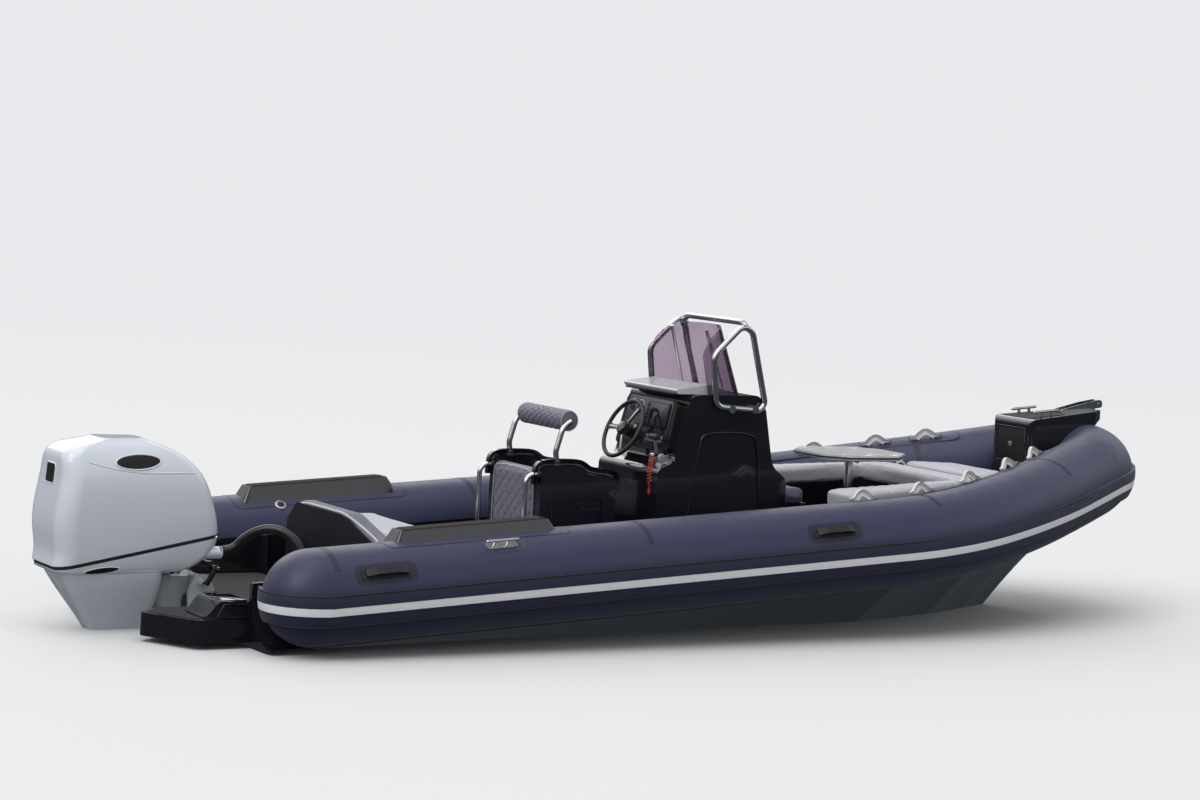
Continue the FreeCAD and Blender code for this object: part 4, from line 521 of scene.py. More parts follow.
def gridPlate(bm, points, low, high, step):
    # a plate cut into squares, so that it can bend over a curved surface
    verts = addPlate(bm, points, low, high)
    for axis in (0, 1):
        values = [vert.co[axis] for vert in verts]
        normal = Vector((1 - axis, axis, 0))
        at = min(values) + step
        while at < max(values):
            everything = bm.verts[:] + bm.edges[:] + bm.faces[:]
            bmesh.ops.bisect_plane(bm, geom=everything, plane_co=normal * at, plane_no=normal)
            at += step


def ring(points):
    return list(points) + [points[0]]


def oval(long, tall, count=40):
    turns = (2 * math.pi * index / count for index in range(count))
    return [(long / 2 * math.cos(turn), tall / 2 * math.sin(turn)) for turn in turns]


# ---- outboard: dark sheets of painted shade in the cowl openings, their lips, the shoulder line and the plug in the aft face ----
outboard = {"intakeAt": (-0.455, 0.965), "intake": (0.270, 0.082), "slotAt": (-0.655, 0.360), "slot": (0.205, 0.034),
            "aftSlot": (0.130, 0.105), "aftSlotZ": 0.885, "lip": 0.007, "hole": (-0.004, 0.0024),
            "plugZ": 0.755, "plug": (0.060, 0.040, 0.003),
            "crease": ((-0.850, 0.985), (-0.780, 0.972), (-0.700, 0.950), (-0.600, 0.926), (-0.480, 0.908),
                       (-0.340, 0.900), (-0.200, 0.902), (-0.110, 0.900))}
upperSurface, lowerSurface = surfaceOf("upper_cowl"), surfaceOf("lower_cowl")
openingShadeBm, lipBm, creaseBm, plugBm = bmesh.new(), bmesh.new(), bmesh.new(), bmesh.new()
for side in (-1, 1):
    spots = ((upperSurface, outboard["intakeAt"], (0, side, 0.55), outboard["intake"]),
             (lowerSurface, outboard["slotAt"], (0, side, -0.12), outboard["slot"]))
    for surface, (x, z), out, (long, tall) in spots:
        place = facing((x, side * 0.2, z), out, (1, 0, 0.09))
        # a near-black sheet laid on the cowl stands for the shade inside the opening: painted shade
        holeBm = bmesh.new()
        gridPlate(holeBm, oval(long, tall), *outboard["hole"], 0.010)
        layOn(holeBm, surface, place)
        bmesh.ops.recalc_face_normals(holeBm, faces=holeBm.faces)
        joinMesh(openingShadeBm, meshFrom(holeBm, "hole"))
        rim = pointsOn(surface, place, ring(oval(long * 1.03, tall * 1.08)), -0.001)
        addSweep(lipBm, rim, outboard["lip"] * (0.8 if tall > 0.05 else 0.55))
    sidePlace = facing((0, side * 0.2, 0), (0, side, 0), (1, 0, 0))
    creaseLine = pointsOn(upperSurface, sidePlace, [(x, -z * side) for x, z in outboard["crease"]], -0.0035)
    addSweep(creaseBm, routePoints(creaseLine, steps=8), 0.006)
aftPlace = facing((-0.9, 0, outboard["aftSlotZ"]), (-1, 0, 0.08), (0, 1, 0))
# the aft slot is also a near-black sheet of painted shade
slotBm = bmesh.new()
gridPlate(slotBm, centredOutline(*outboard["aftSlot"], 0.02), *outboard["hole"], 0.02)
layOn(slotBm, upperSurface, aftPlace)
joinMesh(openingShadeBm, meshFrom(slotBm, "aftSlot"))
slotRim = centredOutline(*(reach + 0.008 for reach in outboard["aftSlot"]), 0.024)
addSweep(lipBm, pointsOn(upperSurface, aftPlace, ring(slotRim), -0.001), 0.005)
ovalPatch(plugBm, *outboard["plug"])
layOn(plugBm, upperSurface, facing((-0.9, 0.0, outboard["plugZ"]), (-1, 0, 0), (0, 1, 0)))
# the dark sheets are painted shade in the openings
addPiece("cowlOpeningShade", openingShadeBm, "engine", "engine_white", "gap_black")
addPiece("cowlOpeningLips", lipBm, "engine", "engine_white")
addPiece("cowlShoulderLine", creaseBm, "engine", "engine_white")
addPiece("cowlAftPlug", plugBm, "engine", "engine_white", "silver_plastic")
print("outboard details")

# ---- steering cylinder, its rod and arms, and the bracket's bolts ----
ram = {"x": 0.040, "z": 0.362, "half": 0.130, "radius": 0.024, "rod": 0.009, "rodHalf": 0.232, "armLean": 30,
       "boltY": (-0.132, 0.132), "boltZ": (0.150, 0.195)}
ramBm, rodBm, boltBm, clampBm = bmesh.new(), bmesh.new(), bmesh.new(), bmesh.new()
ramPlace = moved((ram["x"], 0, ram["z"])) @ acrossY
addDrum(ramBm, ram["radius"], -ram["half"], ram["half"], 32, 0.004, ramPlace)
for end in (-1, 1):
    capPlace, armPlace, rodEnd = (moved((ram["x"], end * reach, ram["z"])) for reach in
                                  (ram["half"], ram["rodHalf"] - 0.02, ram["rodHalf"] + 0.004))
    addDrum(ramBm, ram["radius"] + 0.005, -0.016, 0.016, 32, 0.004, capPlace @ acrossY)
    addBox(ramBm, (-0.014, -0.012, -0.115), (0.014, 0.012, 0.016), 0.006,
           turn=armPlace @ turnedBy(ram["armLean"], "Y"))
    addDrum(boltBm, 0.012, -0.010, 0.010, 6, 0.002, moved((-0.020, end * 0.178, 0.272)) @ acrossY)
    addDrum(boltBm, 0.010, -0.018, 0.018, 6, 0.002, rodEnd @ acrossY)
addDrum(rodBm, ram["rod"], -ram["rodHalf"], ram["rodHalf"], 20, 0.001, ramPlace)
for y in ram["boltY"]:
    for z in ram["boltZ"]:
        addDrum(clampBm, 0.011, -0.085, -0.066, 6, 0.002, moved((0, y, z)) @ turnedBy(90, "Y"))
addPiece("steeringCylinder", ramBm, "tilt_bracket", "panel_dark")
addPiece("steeringRod", rodBm, "tilt_bracket", "stainless")
addPiece("steeringBolts", boltBm, "tilt_bracket", "stainless")
addPiece("clampBolts", clampBm, "boat", "stainless")
print("steering and mount")

# ---- what sits on the tube ----
tube = {"radius": 0.272, "spacing": 1.09, "stern": 0.300, "rise": math.tan(math.radians(3.8)), "dome": 0.230,
        "bend": 4.02, "leadAlong": 0.97, "leadAcross": 0.41, "bow": (6.355, 0.950)}
riseDeg = math.atan(tube["rise"])
bendZ = tube["stern"] + tube["bend"] * tube["rise"]
bowCurve = (
    Vector((tube["bend"], tube["spacing"], bendZ)),
    Vector((tube["bend"] + tube["leadAlong"] * math.cos(riseDeg), tube["spacing"],
            bendZ + tube["leadAlong"] * math.sin(riseDeg))),
    Vector((tube["bow"][0], tube["leadAcross"], tube["bow"][1])),
    Vector((tube["bow"][0], 0, tube["bow"][1])),
)


def bowPoint(t):
    a, b, c, d = bowCurve
    return a * (1 - t) ** 3 + b * 3 * t * (1 - t) ** 2 + c * 3 * t * t * (1 - t) + d * t ** 3


def tubeCentre(x):
    if x <= tube["bend"]:
        return Vector((x, tube["spacing"], tube["stern"] + x * tube["rise"]))
    low, high = 0.0, 1.0
    for step in range(40):
        middle = (low + high) / 2
        if bowPoint(middle).x < x:
            low = middle
        else:
            high = middle
    return bowPoint(low)


def tubeAxes(x, side):
    flip = Vector((1, side, 1))
    here, ahead = tubeCentre(x), tubeCentre(x + 0.005)
    along = Vector([a * b for a, b in zip(ahead - here, flip)]).normalized()
    centre = Vector([a * b for a, b in zip(here, flip)])
    outward = Vector((0, side, 0))
    outward = (outward - along * outward.dot(along)).normalized()
    up = along.cross(outward)
    return centre, along, outward, up if up.z > 0 else -up


def onTube(x, side, outwardDeg, lift=0.0):
    # X along the tube, Z out of it, at an angle round it from its top
    centre, along, outward, up = tubeAxes(x, side)
    turn = math.radians(outwardDeg)
    normal = up * math.cos(turn) + outward * math.sin(turn)
    across = normal.cross(along)
    base = centre + normal * (tube["radius"] + lift)
    return moved(base) @ Matrix((along, across, normal)).transposed().to_4x4()


def tubeBand(bm, x, side, fromDeg, toDeg, wide, thick, steps=48):
    # a band of fabric round the tube: a small bar of cloth spun about the tube's axis
    centre, along, outward, up = tubeAxes(x, side)
    start = math.radians(fromDeg)
    normal = up * math.cos(start) + outward * math.sin(start)
    corners = []
    under, lip = -0.0005, 0.001
    for away, out in ((-wide / 2, under), (-wide / 2 + lip, thick), (wide / 2 - lip, thick), (wide / 2, under)):
        corners.append(bm.verts.new(centre + along * away + normal * (tube["radius"] + out)))
    edges = [bm.edges.new(pair) for pair in zip(corners, corners[1:])]
    sense = 1 if up.cross(outward).dot(along) > 0 else -1
    bmesh.ops.spin(bm, geom=corners + edges, cent=centre, axis=along * sense, angle=math.radians(toDeg - fromDeg),
                   steps=steps)


seams = {"stations": (0.30, 2.28, 4.35, 5.55), "wide": 0.034, "thick": 0.0011}
seamBm = bmesh.new()
for side in (1, -1):
    for x in seams["stations"]:
        tubeBand(seamBm, x, side, -75, 52, seams["wide"], seams["thick"])
addPiece("tubeSeamBands", seamBm, "boat", "tube_fabric", "seam_navy")

# webbing straps on round bases, one loop each
strap = {"stations": (3.94, 4.42, 4.88, 5.30, 5.62), "turn": -16, "half": 0.095, "tall": 0.042, "wide": 0.040,
         "thick": 0.004, "base": 0.052}
strapBm, baseBm = bmesh.new(), bmesh.new()
for side in (1, -1):
    for x in strap["stations"]:
        put = onTube(x, side, strap["turn"])
        half, tall = strap["half"], strap["tall"]
        rising = ((-half, 0.002), (-half + 0.03, 0.004), (-half + 0.055, tall * 0.75), (-0.012, tall * 1.25))
        loop = [(along, 0, up) for along, up in rising] + [(-along, 0, up) for along, up in reversed(rising)]
        line = [put @ point for point in routePoints(loop, steps=8)]
        addSweep(strapBm, line, 0, flat=(strap["thick"], strap["wide"]))
        for end in (-1, 1):
            spot = onTube(x + end * (half - 0.018), side, strap["turn"])
            addDrum(baseBm, strap["base"] / 2 + 0.008, -0.002, 0.0035, 28, 0.0015, spot)
addPiece("grabStrapWebbing", strapBm, "boat", "webbing", replaced=("grab_straps",))
addPiece("grabStrapBases", baseBm, "boat", "tube_fabric", "seam_navy")
print("tube seams and straps")


def wrapOnTube(bm, side, x, deg):
    # a flat plate is bent round the tube: its X goes along the tube, its Y round it
    for vert in bm.verts:
        here = onTube(x + vert.co.x, side, deg + math.degrees(vert.co.y / tube["radius"]), vert.co.z)
        vert.co = here.translation


def tubeLine(height, out, ahead=28):
    # a level line round the outer side of both tubes, from dome to dome, at a height over their centres
    reach = math.sqrt((tube["radius"] + out) ** 2 - height ** 2)
    line = []
    dome = tubeCentre(tube["dome"])
    for step in range(10, 0, -1):
        turn = math.radians(12.5 * step)
        line.append(dome + Vector((-reach * math.sin(turn), reach * math.cos(turn), height)))
    for step in range(14):
        x = tube["dome"] + (tube["bend"] - tube["dome"]) * step / 14
        line.append(tubeCentre(x) + Vector((0, reach, height)))
    for step in range(ahead):
        t = step / ahead
        way = bowPoint(t + 0.001) - bowPoint(t - 0.001)
        line.append(bowPoint(t) + Vector((-way.y, way.x, 0)).normalized() * reach + Vector((0, 0, height)))
    return line + [Vector((p.x, -p.y, p.z)) for p in reversed(line)]


strakeBeads = {"out": 0.0195, "lines": ((0.045, 0.0045), (-0.130, 0.0045), (-0.018, 0.0026), (-0.067, 0.0026))}
edgeBm = bmesh.new()
for height, bead in strakeBeads["lines"]:
    addSweep(edgeBm, tubeLine(height, strakeBeads["out"]), bead, round8=3)
addPiece("strakeEdgeBeads", edgeBm, "boat", "strake_rubber")

patches = (
    # x, round from the top, long, wide, thick, corner, finish: the doublers under the straps, handles and pads
    (4.78, -16, 2.10, 0.120, 0.0008, 0.05, "seam_navy"), (4.78, -16, 2.08, 0.106, 0.0014, 0.045, "tube_fabric"),
    (1.24, -8.9, 1.17, 0.300, 0.0008, 0.05, "seam_navy"), (1.24, -8.9, 1.155, 0.286, 0.0014, 0.045, "tube_fabric"),
    (1.33, 34, 0.30, 0.110, 0.0012, 0.03, "tube_fabric"),
)
handleStations = (0.58, 3.53)
doublers = {"seam_navy": bmesh.new(), "tube_fabric": bmesh.new()}
for side in (1, -1):
    spots = list(patches) + [(x, 58, 0.375, 0.120, 0.0012, 0.04, "seam_navy") for x in handleStations]
    for x, deg, long, wide, thick, corner, look in spots:
        patchBm = bmesh.new()
        gridPlate(patchBm, centredOutline(long, wide, corner), 0.0, thick, 0.03)
        wrapOnTube(patchBm, side, x, deg)
        bmesh.ops.recalc_face_normals(patchBm, faces=patchBm.faces)
        joinMesh(doublers[look], meshFrom(patchBm, "patch"))
addPiece("tubeDoublerEdges", doublers["seam_navy"], "boat", "tube_fabric", "seam_navy")
addPiece("tubeDoublers", doublers["tube_fabric"], "boat", "tube_fabric")

# inflation valves on the inner sides of the tubes
valves = {"stations": ((0.95, -38), (2.95, -38), (4.90, -62), (5.42, -62)), "radius": 0.036}
valveBm, valveCapBm = bmesh.new(), bmesh.new()
for side in (1, -1):
    for x, deg in valves["stations"]:
        spot = onTube(x, side, deg)
        addDrum(valveBm, valves["radius"], -0.004, 0.006, 36, 0.003, spot)
        addDrum(valveCapBm, valves["radius"] * 0.62, 0.004, 0.011, 28, 0.003, spot)
        addBox(valveCapBm, (-0.016, -0.003, 0.009), (0.016, 0.003, 0.014), 0.001, 1, spot)
addPiece("valveFlanges", valveBm, "boat", "panel_dark", "silver_plastic")
addPiece("valveCaps", valveCapBm, "boat", "strake_rubber")

# step pad treads: a grooved mat in a raised border
tread = {"x": 1.24, "inboard": 0.042, "long": 0.90, "wide": 0.104, "foot": 0.0595, "ribs": 9}
matBm, ribBm = bmesh.new(), bmesh.new()
for side in (1, -1):
    spot = onTube(tread["x"], side, 0) @ moved((0, -tread["inboard"] * side, 0))
    outline = centredOutline(tread["long"], tread["wide"], 0.015)
    addPlate(matBm, outline, tread["foot"], tread["foot"] + 0.0035, 0.001, turn=spot)
    for rib in range(tread["ribs"]):
        y = (rib - (tread["ribs"] - 1) / 2) * tread["wide"] / (tread["ribs"] + 0.6)
        addBox(ribBm, (-tread["long"] / 2 + 0.012, y - 0.0032, tread["foot"] + 0.002),
               (tread["long"] / 2 - 0.012, y + 0.0032, tread["foot"] + 0.0062), 0.0012, 1, spot)
addPiece("stepTreadMats", matBm, "boat", "deck_pad")
addPiece("stepTreadRibs", ribBm, "boat", "deck_pad")
frame["nodes"]["step_pads"].data.materials[0] = looks["gelcoat_dark"]
print("tube doublers, valves and treads")

# ---- swim platforms: grip pads with a pale border, a cap on each locker and its sunk side ----
platform = {"top": 0.165, "pad": ((-0.020, 0.372), (-0.345, 0.376), (-0.480, 0.494), (-0.325, 0.792), (-0.292, 0.792),
                                  (-0.285, 0.560), (-0.262, 0.505), (-0.020, 0.502)),
            "border": 0.007, "capFrom": (-0.165, 0.560), "capTo": (-0.015, 0.785), "capTop": 0.2615,
            "outer": 0.8255, "sideBead": ((-0.205, 0.175), (-0.020, 0.175), (-0.020, 0.247), (-0.165, 0.247),
                                          (-0.205, 0.175))}
gripBm, borderBm, capBm, sideBm = bmesh.new(), bmesh.new(), bmesh.new(), bmesh.new()
for side in (1, -1):
    outline = [(x, y * side) for x, y in platform["pad"]]
    addPlate(gripBm, outline, platform["top"] - 0.001, platform["top"] + 0.003)
    rim = [borderBm.verts.new((x, y, platform["top"] + 0.0036)) for x, y in outline]
    face = borderBm.faces.new(rim)
    bmesh.ops.inset_region(borderBm, faces=[face], thickness=platform["border"], use_boundary=True)
    borderBm.faces.remove(face)
    low, high = sorted((platform["capFrom"][1] * side, platform["capTo"][1] * side))
    addBox(capBm, (platform["capFrom"][0], low, platform["capTop"] - 0.006),
           (platform["capTo"][0], high, platform["capTop"] + 0.004), 0.0035)
    bead = [(x, platform["outer"] * side, z) for x, z in platform["sideBead"]]
    addSweep(sideBm, bead, 0.0035, round8=3)
bmesh.ops.solidify(borderBm, geom=borderBm.faces[:], thickness=0.0015)
addPiece("platformGrip", gripBm, "boat", "gelcoat_dark", "deck_dark")
addPiece("platformGripBorder", borderBm, "boat", "gelcoat_dark", "line_pale")
addPiece("lockerCaps", capBm, "boat", "gelcoat_dark")
addPiece("lockerSideBeads", sideBm, "boat", "gelcoat_dark")
print("platforms")

# ---- aft bench: the pale moulding round its back, partly a painted highlight, the tie-down eyes and the latches ----
bench = {"backX": 0.806, "back": ((-0.742, 0.500), (-0.742, 0.560), (-0.600, 0.600), (-0.290, 0.672), (-0.100, 0.672),
                                  (0.300, 0.672), (0.400, 0.640), (0.492, 0.560), (0.492, 0.500)),
         "bead": 0.0085, "eyes": (-0.430, 0.080), "eyeZ": 0.300}
mouldingBm, eyeBm, plateBm = bmesh.new(), bmesh.new(), bmesh.new()
# the pale bead on the back's top edge is its trim and partly a painted highlight of that edge
backLine = routePoints([(bench["backX"], y, z) for y, z in bench["back"]], steps=8)
addSweep(mouldingBm, backLine, bench["bead"], round8=4)
addPiece("benchBackMoulding", mouldingBm, "boat", "gelcoat_dark", "line_pale")
for y in bench["eyes"]:
    loop = [(0.788 - reach, y + across, bench["eyeZ"]) for reach, across in
            ((0.0, -0.026), (0.022, -0.026), (0.042, -0.014), (0.042, 0.014), (0.022, 0.026), (0.0, 0.026))]
    addSweep(eyeBm, routePoints(loop, steps=6), 0.0045, round8=4)
    addBox(plateBm, (0.784, y - 0.042, bench["eyeZ"] - 0.016), (0.790, y + 0.042, bench["eyeZ"] + 0.016), 0.002)
addPiece("benchEyes", eyeBm, "boat", "stainless")
addPiece("benchEyePlates", plateBm, "boat", "stainless")
lidBm = bmesh.new()
for y in (-0.55, 0.30):
    addBox(lidBm, (0.944, y - 0.030, 0.425), (0.951, y + 0.030, 0.466), 0.002)
addPiece("benchLatches", lidBm, "boat", "stainless")

# ---- helm seat: quilted roll, caps on the side panels, feet on the rails ----
roll = {"x": 2.262, "z": 1.225, "radius": 0.064, "half": 0.272, "pitch": 0.063, "around": 9, "dip": 0.006,
        "plain": 0.020, "cuts": 132, "sides": 144, "piping": 0.058}
rollBm = bmesh.new()
radius, half = roll["radius"], roll["half"]
endProfile = [(0.0, -half), (radius * 0.72, -half), (radius - 0.006, -half + 0.003), (radius, -half + 0.010)]
straight = [(radius, -half + 0.010 + (2 * half - 0.020) * step / roll["cuts"]) for step in range(1, roll["cuts"])]
profile = endProfile + straight + [(r, -z) for r, z in reversed(endProfile)]
line = [rollBm.verts.new((r, 0, z)) for r, z in profile]
edges = [rollBm.edges.new(pair) for pair in zip(line, line[1:])]
bmesh.ops.spin(rollBm, geom=line + edges, cent=(0, 0, 0), axis=(0, 0, 1), angle=2 * math.pi, steps=roll["sides"],
               use_merge=True)
bmesh.ops.remove_doubles(rollBm, verts=rollBm.verts, dist=1e-5)
for vert in rollBm.verts:
    away = Vector((vert.co.x, vert.co.y, 0))
    if away.length > radius - 0.001 and abs(vert.co.z) < half - roll["plain"]:
        along = math.pi * vert.co.z / roll["pitch"]
        turned = math.atan2(vert.co.y, vert.co.x) * roll["around"] / 2
        seam = min(abs(math.sin(along + turned)), abs(math.sin(along - turned)))
        fade = min(1.0, (half - roll["plain"] - abs(vert.co.z)) / 0.012)
        away *= 1 - roll["dip"] / radius * (1 - min(seam / 0.55, 1.0)) ** 2 * fade
        vert.co.x, vert.co.y = away.x, away.y
bmesh.ops.transform(rollBm, matrix=moved((roll["x"], 0, roll["z"])) @ turnedBy(90, "X"), verts=rollBm.verts)
rollPiece = addPiece("helmRollQuilted", rollBm, "boat", "cushion_dark", "quilt_dark", angle=60,
                     replaced=("helm_roll",))
endBm = bmesh.new()
for end in (-1, 1):
    rollEnd = (roll["x"], end * (half + 0.0005), roll["z"])
    addSweep(endBm, circleLine(rollEnd, roll["piping"], (0, 0, 1), 36), 0.0028, round8=3)
addPiece("helmRollPiping", endBm, "boat", "cushion_dark", "line_pale")

helm = {"half": 0.325, "panel": 0.062, "cap": 0.009, "feet": 2.180, "footTop": 0.956, "grabX": 1.972,
        "top": ((2.052, 0.845), (2.052, 0.930), (2.078, 0.9625), (2.315, 0.9625), (2.352, 0.950), (2.398, 0.914),
                (2.560, 0.898), (2.588, 0.870), (2.588, 0.800)),
        "backPiping": ((-0.256, 0.220), (-0.256, 0.860), (-0.235, 0.925), (0.235, 0.925), (0.256, 0.860),
                       (0.256, 0.220)),
        "recess": ((2.145, 0.290), (2.145, 0.750), (2.300, 0.750), (2.340, 0.690), (2.480, 0.690), (2.480, 0.290),
                   (2.145, 0.290))}
capsBm, footBm, lineBm, recessBm = bmesh.new(), bmesh.new(), bmesh.new(), bmesh.new()
footTop = helm["footTop"]
for side in (1, -1):
    middle = side * (helm["half"] - helm["panel"] / 2)
    line = routePoints([(x, middle, z) for x, z in helm["top"]], steps=5)
    addSweep(capsBm, line, 0, flat=(helm["cap"], helm["panel"] + 0.010))
    feet = (
        # radius, from, to, soft, place
        (0.036, footTop - 0.002, footTop + 0.014, 0.005, moved((helm["feet"], side * 0.295, 0))),
        (0.024, footTop + 0.012, footTop + 0.030, 0.004, moved((helm["feet"] - 0.001, side * 0.295, 0))),
        (0.030, 0.162, 0.176, 0.004, moved((helm["grabX"], middle, 0))),
        (0.026, -0.014, 0.002, 0.004, moved((2.060, middle, 0.905)) @ turnedBy(90, "Y")),
    )
    for footRadius, low, high, soft, place in feet:
        addDrum(footBm, footRadius, low, high, 28, soft, place)
    addSweep(recessBm, [(x, side * helm["half"], z) for x, z in helm["recess"]], 0.0032, round8=3)
addSweep(lineBm, routePoints([(2.049, y, z) for y, z in helm["backPiping"]], steps=6), 0.0035, round8=3)
addPiece("helmPanelCaps", capsBm, "boat", "console_black")
addPiece("helmRailFeet", footBm, "boat", "wheel_black")
addPiece("helmBackPiping", lineBm, "boat", "cushion_dark", "line_pale")
addPiece("helmRecessBeads", recessBm, "boat", "console_black")
print("bench and helm details")

# ---- console: dash face with its screen, gauges and switches, wheel cap, throttle, arches and grille ----
dash = {"foot": (2.965, 0, 0.985), "leanDeg": 13.3, "face": 0.0462, "panel": (0.062, 0.362, -0.268, 0.268),
        "screenAt": (0.262, -0.115), "screen": (0.165, 0.262), "gauges": ((0.300, 0.110), (0.300, 0.195)),
        "gauge": 0.036, "switchAt": (0.118, -0.215), "switches": 6, "switchStep": 0.034, "radioAt": (0.165, 0.155)}
lean = math.radians(dash["leanDeg"])
dashPlace = moved(dash["foot"]) @ Matrix((
    (math.sin(lean), 0, math.cos(lean)), (0, 1, 0), (-math.cos(lean), 0, math.sin(lean)))).transposed().to_4x4()
bezelBm, glassBm, ringBm, keyBm, panelBm = bmesh.new(), bmesh.new(), bmesh.new(), bmesh.new(), bmesh.new()
u, v = dash["screenAt"]
tall, wide = dash["screen"]
face = dash["face"]
addPlate(panelBm, roundedOutline(*dash["panel"], 0.03), face - 0.004, face + 0.003, 0.0015, turn=dashPlace)
addPlate(bezelBm, centredOutline(tall, wide, 0.014, (u, v)), face, face + 0.014, 0.004, turn=dashPlace)
glassOutline = centredOutline(tall - 0.028, wide - 0.044, 0.006, (u, v - 0.008))
addPlate(glassBm, glassOutline, face + 0.012, face + 0.0155, 0.001, turn=dashPlace)
for key in range(5):
    addBox(keyBm, (u - 0.058 + key * 0.026, v + wide / 2 - 0.024, face + 0.013),
           (u - 0.042 + key * 0.026, v + wide / 2 - 0.010, face + 0.018), 0.002, turn=dashPlace)
for gu, gv in dash["gauges"]:
    spot = dashPlace @ moved((gu, gv, face))
    addDrum(ringBm, dash["gauge"] + 0.006, -0.002, 0.007, 40, 0.003, spot)
    addDrum(glassBm, dash["gauge"], 0.005, 0.0085, 40, 0.001, spot)
    addBox(keyBm, (-0.001, -0.001, 0.0082), (0.026, 0.001, 0.0096), 0.0, 1, spot @ Matrix.Rotation(0.7, 4, "Z"))
for index in range(dash["switches"]):
    spot = dashPlace @ moved((dash["switchAt"][0], dash["switchAt"][1] + index * dash["switchStep"], 0))
    addBox(ringBm, (-0.022, -0.013, face), (0.022, 0.013, face + 0.0045), 0.002, turn=spot)
    addBox(keyBm, (-0.016, -0.0085, face + 0.003), (0.016, 0.0085, face + 0.0095), 0.003,
           turn=spot @ Matrix.Rotation(0.12, 4, "Y"))
radio = dashPlace @ moved((*dash["radioAt"], face))
addPlate(bezelBm, centredOutline(0.064, 0.170, 0.010), 0, 0.012, 0.003, turn=radio)
addPlate(glassBm, centredOutline(0.038, 0.105, 0.004, (0.001, 0.0075)), 0.0105, 0.0135, 0.0008, turn=radio)
addDrum(ringBm, 0.014, 0.010, 0.022, 28, 0.003, radio @ moved((0, -0.064, 0)))
addPiece("dashFascia", panelBm, "boat", "dash_black", "screen_glass")
addPiece("dashBezels", bezelBm, "boat", "dash_black")
addPiece("dashGlass", glassBm, "boat", "dash_black", "screen_glass")
addPiece("dashRings", ringBm, "boat", "stainless", "silver_plastic")
addPiece("dashKeys", keyBm, "boat", "dash_black", "wheel_black")

# wheel: a cap on the hub and silver inlays on the spokes
wheel = {"at": (2.850, 0.080, 1.150), "leanDeg": 25}
wheelPlace = moved(wheel["at"]) @ turnedBy(wheel["leanDeg"] - 90, "Y")
hubBm, inlayBm = bmesh.new(), bmesh.new()
addDrum(hubBm, 0.040, 0.008, 0.026, 40, 0.008, wheelPlace)
for step in range(3):
    spin = wheelPlace @ turnedBy(90 + 120 * step, "Z")
    addBox(inlayBm, (0.050, -0.007, 0.004), (0.160, 0.007, 0.0075), 0.0015, turn=spin)
addPiece("wheelHubCap", hubBm, "helm_wheel", "wheel_black", "console_black")
addPiece("wheelInlays", inlayBm, "helm_wheel", "wheel_black", "silver_plastic")

# throttle: dark grip sleeve, boot and a top plate
leverBm, pivotBm = bmesh.new(), bmesh.new()
lever = {"eye": (2.915, -0.250, 1.000), "knob": (2.877, -0.250, 1.130)}
acrossLever = moved(lever["knob"]) @ acrossY
addDrum(leverBm, 0.0195, -0.040, 0.048, 28, 0.006, acrossLever)
addBox(leverBm, (2.868, -0.296, 0.944), (2.972, -0.204, 0.954), 0.004)
addPiece("throttleGrip", leverBm, "boat", "wheel_black")
addDrum(pivotBm, 0.030, -0.046, 0.046, 32, 0.006, moved(lever["eye"]) @ acrossY)
addPiece("throttlePivot", pivotBm, "boat", "stainless", "silver_plastic")

# arches on the sides, a small oval fitting, the grille on the seat box with painted shade in its slots, and a dark
# strip of painted shade in the slot under the hood
sides = {"archY": 0.3595, "arch": ((3.040, 0.222), (3.085, 0.700), (3.135, 1.120), (3.180, 1.170), (3.500, 1.170),
                                   (3.560, 1.120), (3.606, 0.700), (3.640, 0.222)),
         "strut": ((3.236, 0.205, 1.790), (3.352, 0.235, 1.440), (3.360, 0.236, 1.402)), "strutRadius": 0.011,
         "grille": 0.092, "slot": 0.013, "screw": 0.037}
archBm, grilleBm, screwBm, slotShadeBm, strutBm = (bmesh.new() for each in range(5))
for side in (1, -1):
    archLine = routePoints([(x, side * sides["archY"], z) for x, z in sides["arch"]], steps=6)
    addSweep(archBm, archLine, 0.0050, round8=4)
    addSweep(strutBm, [(x, side * y, z) for x, y, z in sides["strut"]], sides["strutRadius"], round8=5)
    fittingBm = bmesh.new()
    ovalPatch(fittingBm, 0.046, 0.024, 0.006)
    fittingPlace = facing((3.590, side * 0.360, 1.250), (0, side, 0), (1, 0, 0))
    bmesh.ops.transform(fittingBm, matrix=fittingPlace, verts=fittingBm.verts)
    joinMesh(screwBm, meshFrom(fittingBm, "fitting"))
    grille = facing((3.960, side * 0.270, 0.560), (0, side, 0), (1, 0, 0))
    addPlate(grilleBm, centredOutline(sides["grille"], sides["grille"], 0.012), -0.002, 0.006, 0.002, turn=grille)
    # dark bars of painted shade stand for the grille's slots
    for bar in range(-2, 3):
        y = bar * sides["slot"]
        addBox(slotShadeBm, (-0.030, y - 0.0035, 0.004), (0.030, y + 0.0035, 0.0066), 0.001, 1, grille)
    for x in (-sides["screw"], sides["screw"]):
        for y in (-sides["screw"], sides["screw"]):
            addDrum(screwBm, 0.0048, 0.004, 0.0078, 16, 0.001, grille @ moved((x, y, 0)))
# a dark strip of painted shade stands for the slot under the hood
addBox(slotShadeBm, (2.972, -0.290, 1.391), (2.992, 0.290, 1.4005), 0.002)
addPiece("consoleArchBeads", archBm, "boat", "console_black")
addPiece("seatBoxGrilles", grilleBm, "boat", "panel_dark")
addPiece("seatBoxScrews", screwBm, "boat", "stainless")
addPiece("slotShadeStrips", slotShadeBm, "boat", "dash_black", "gap_black")
addPiece("screenStruts", strutBm, "boat", "stainless")

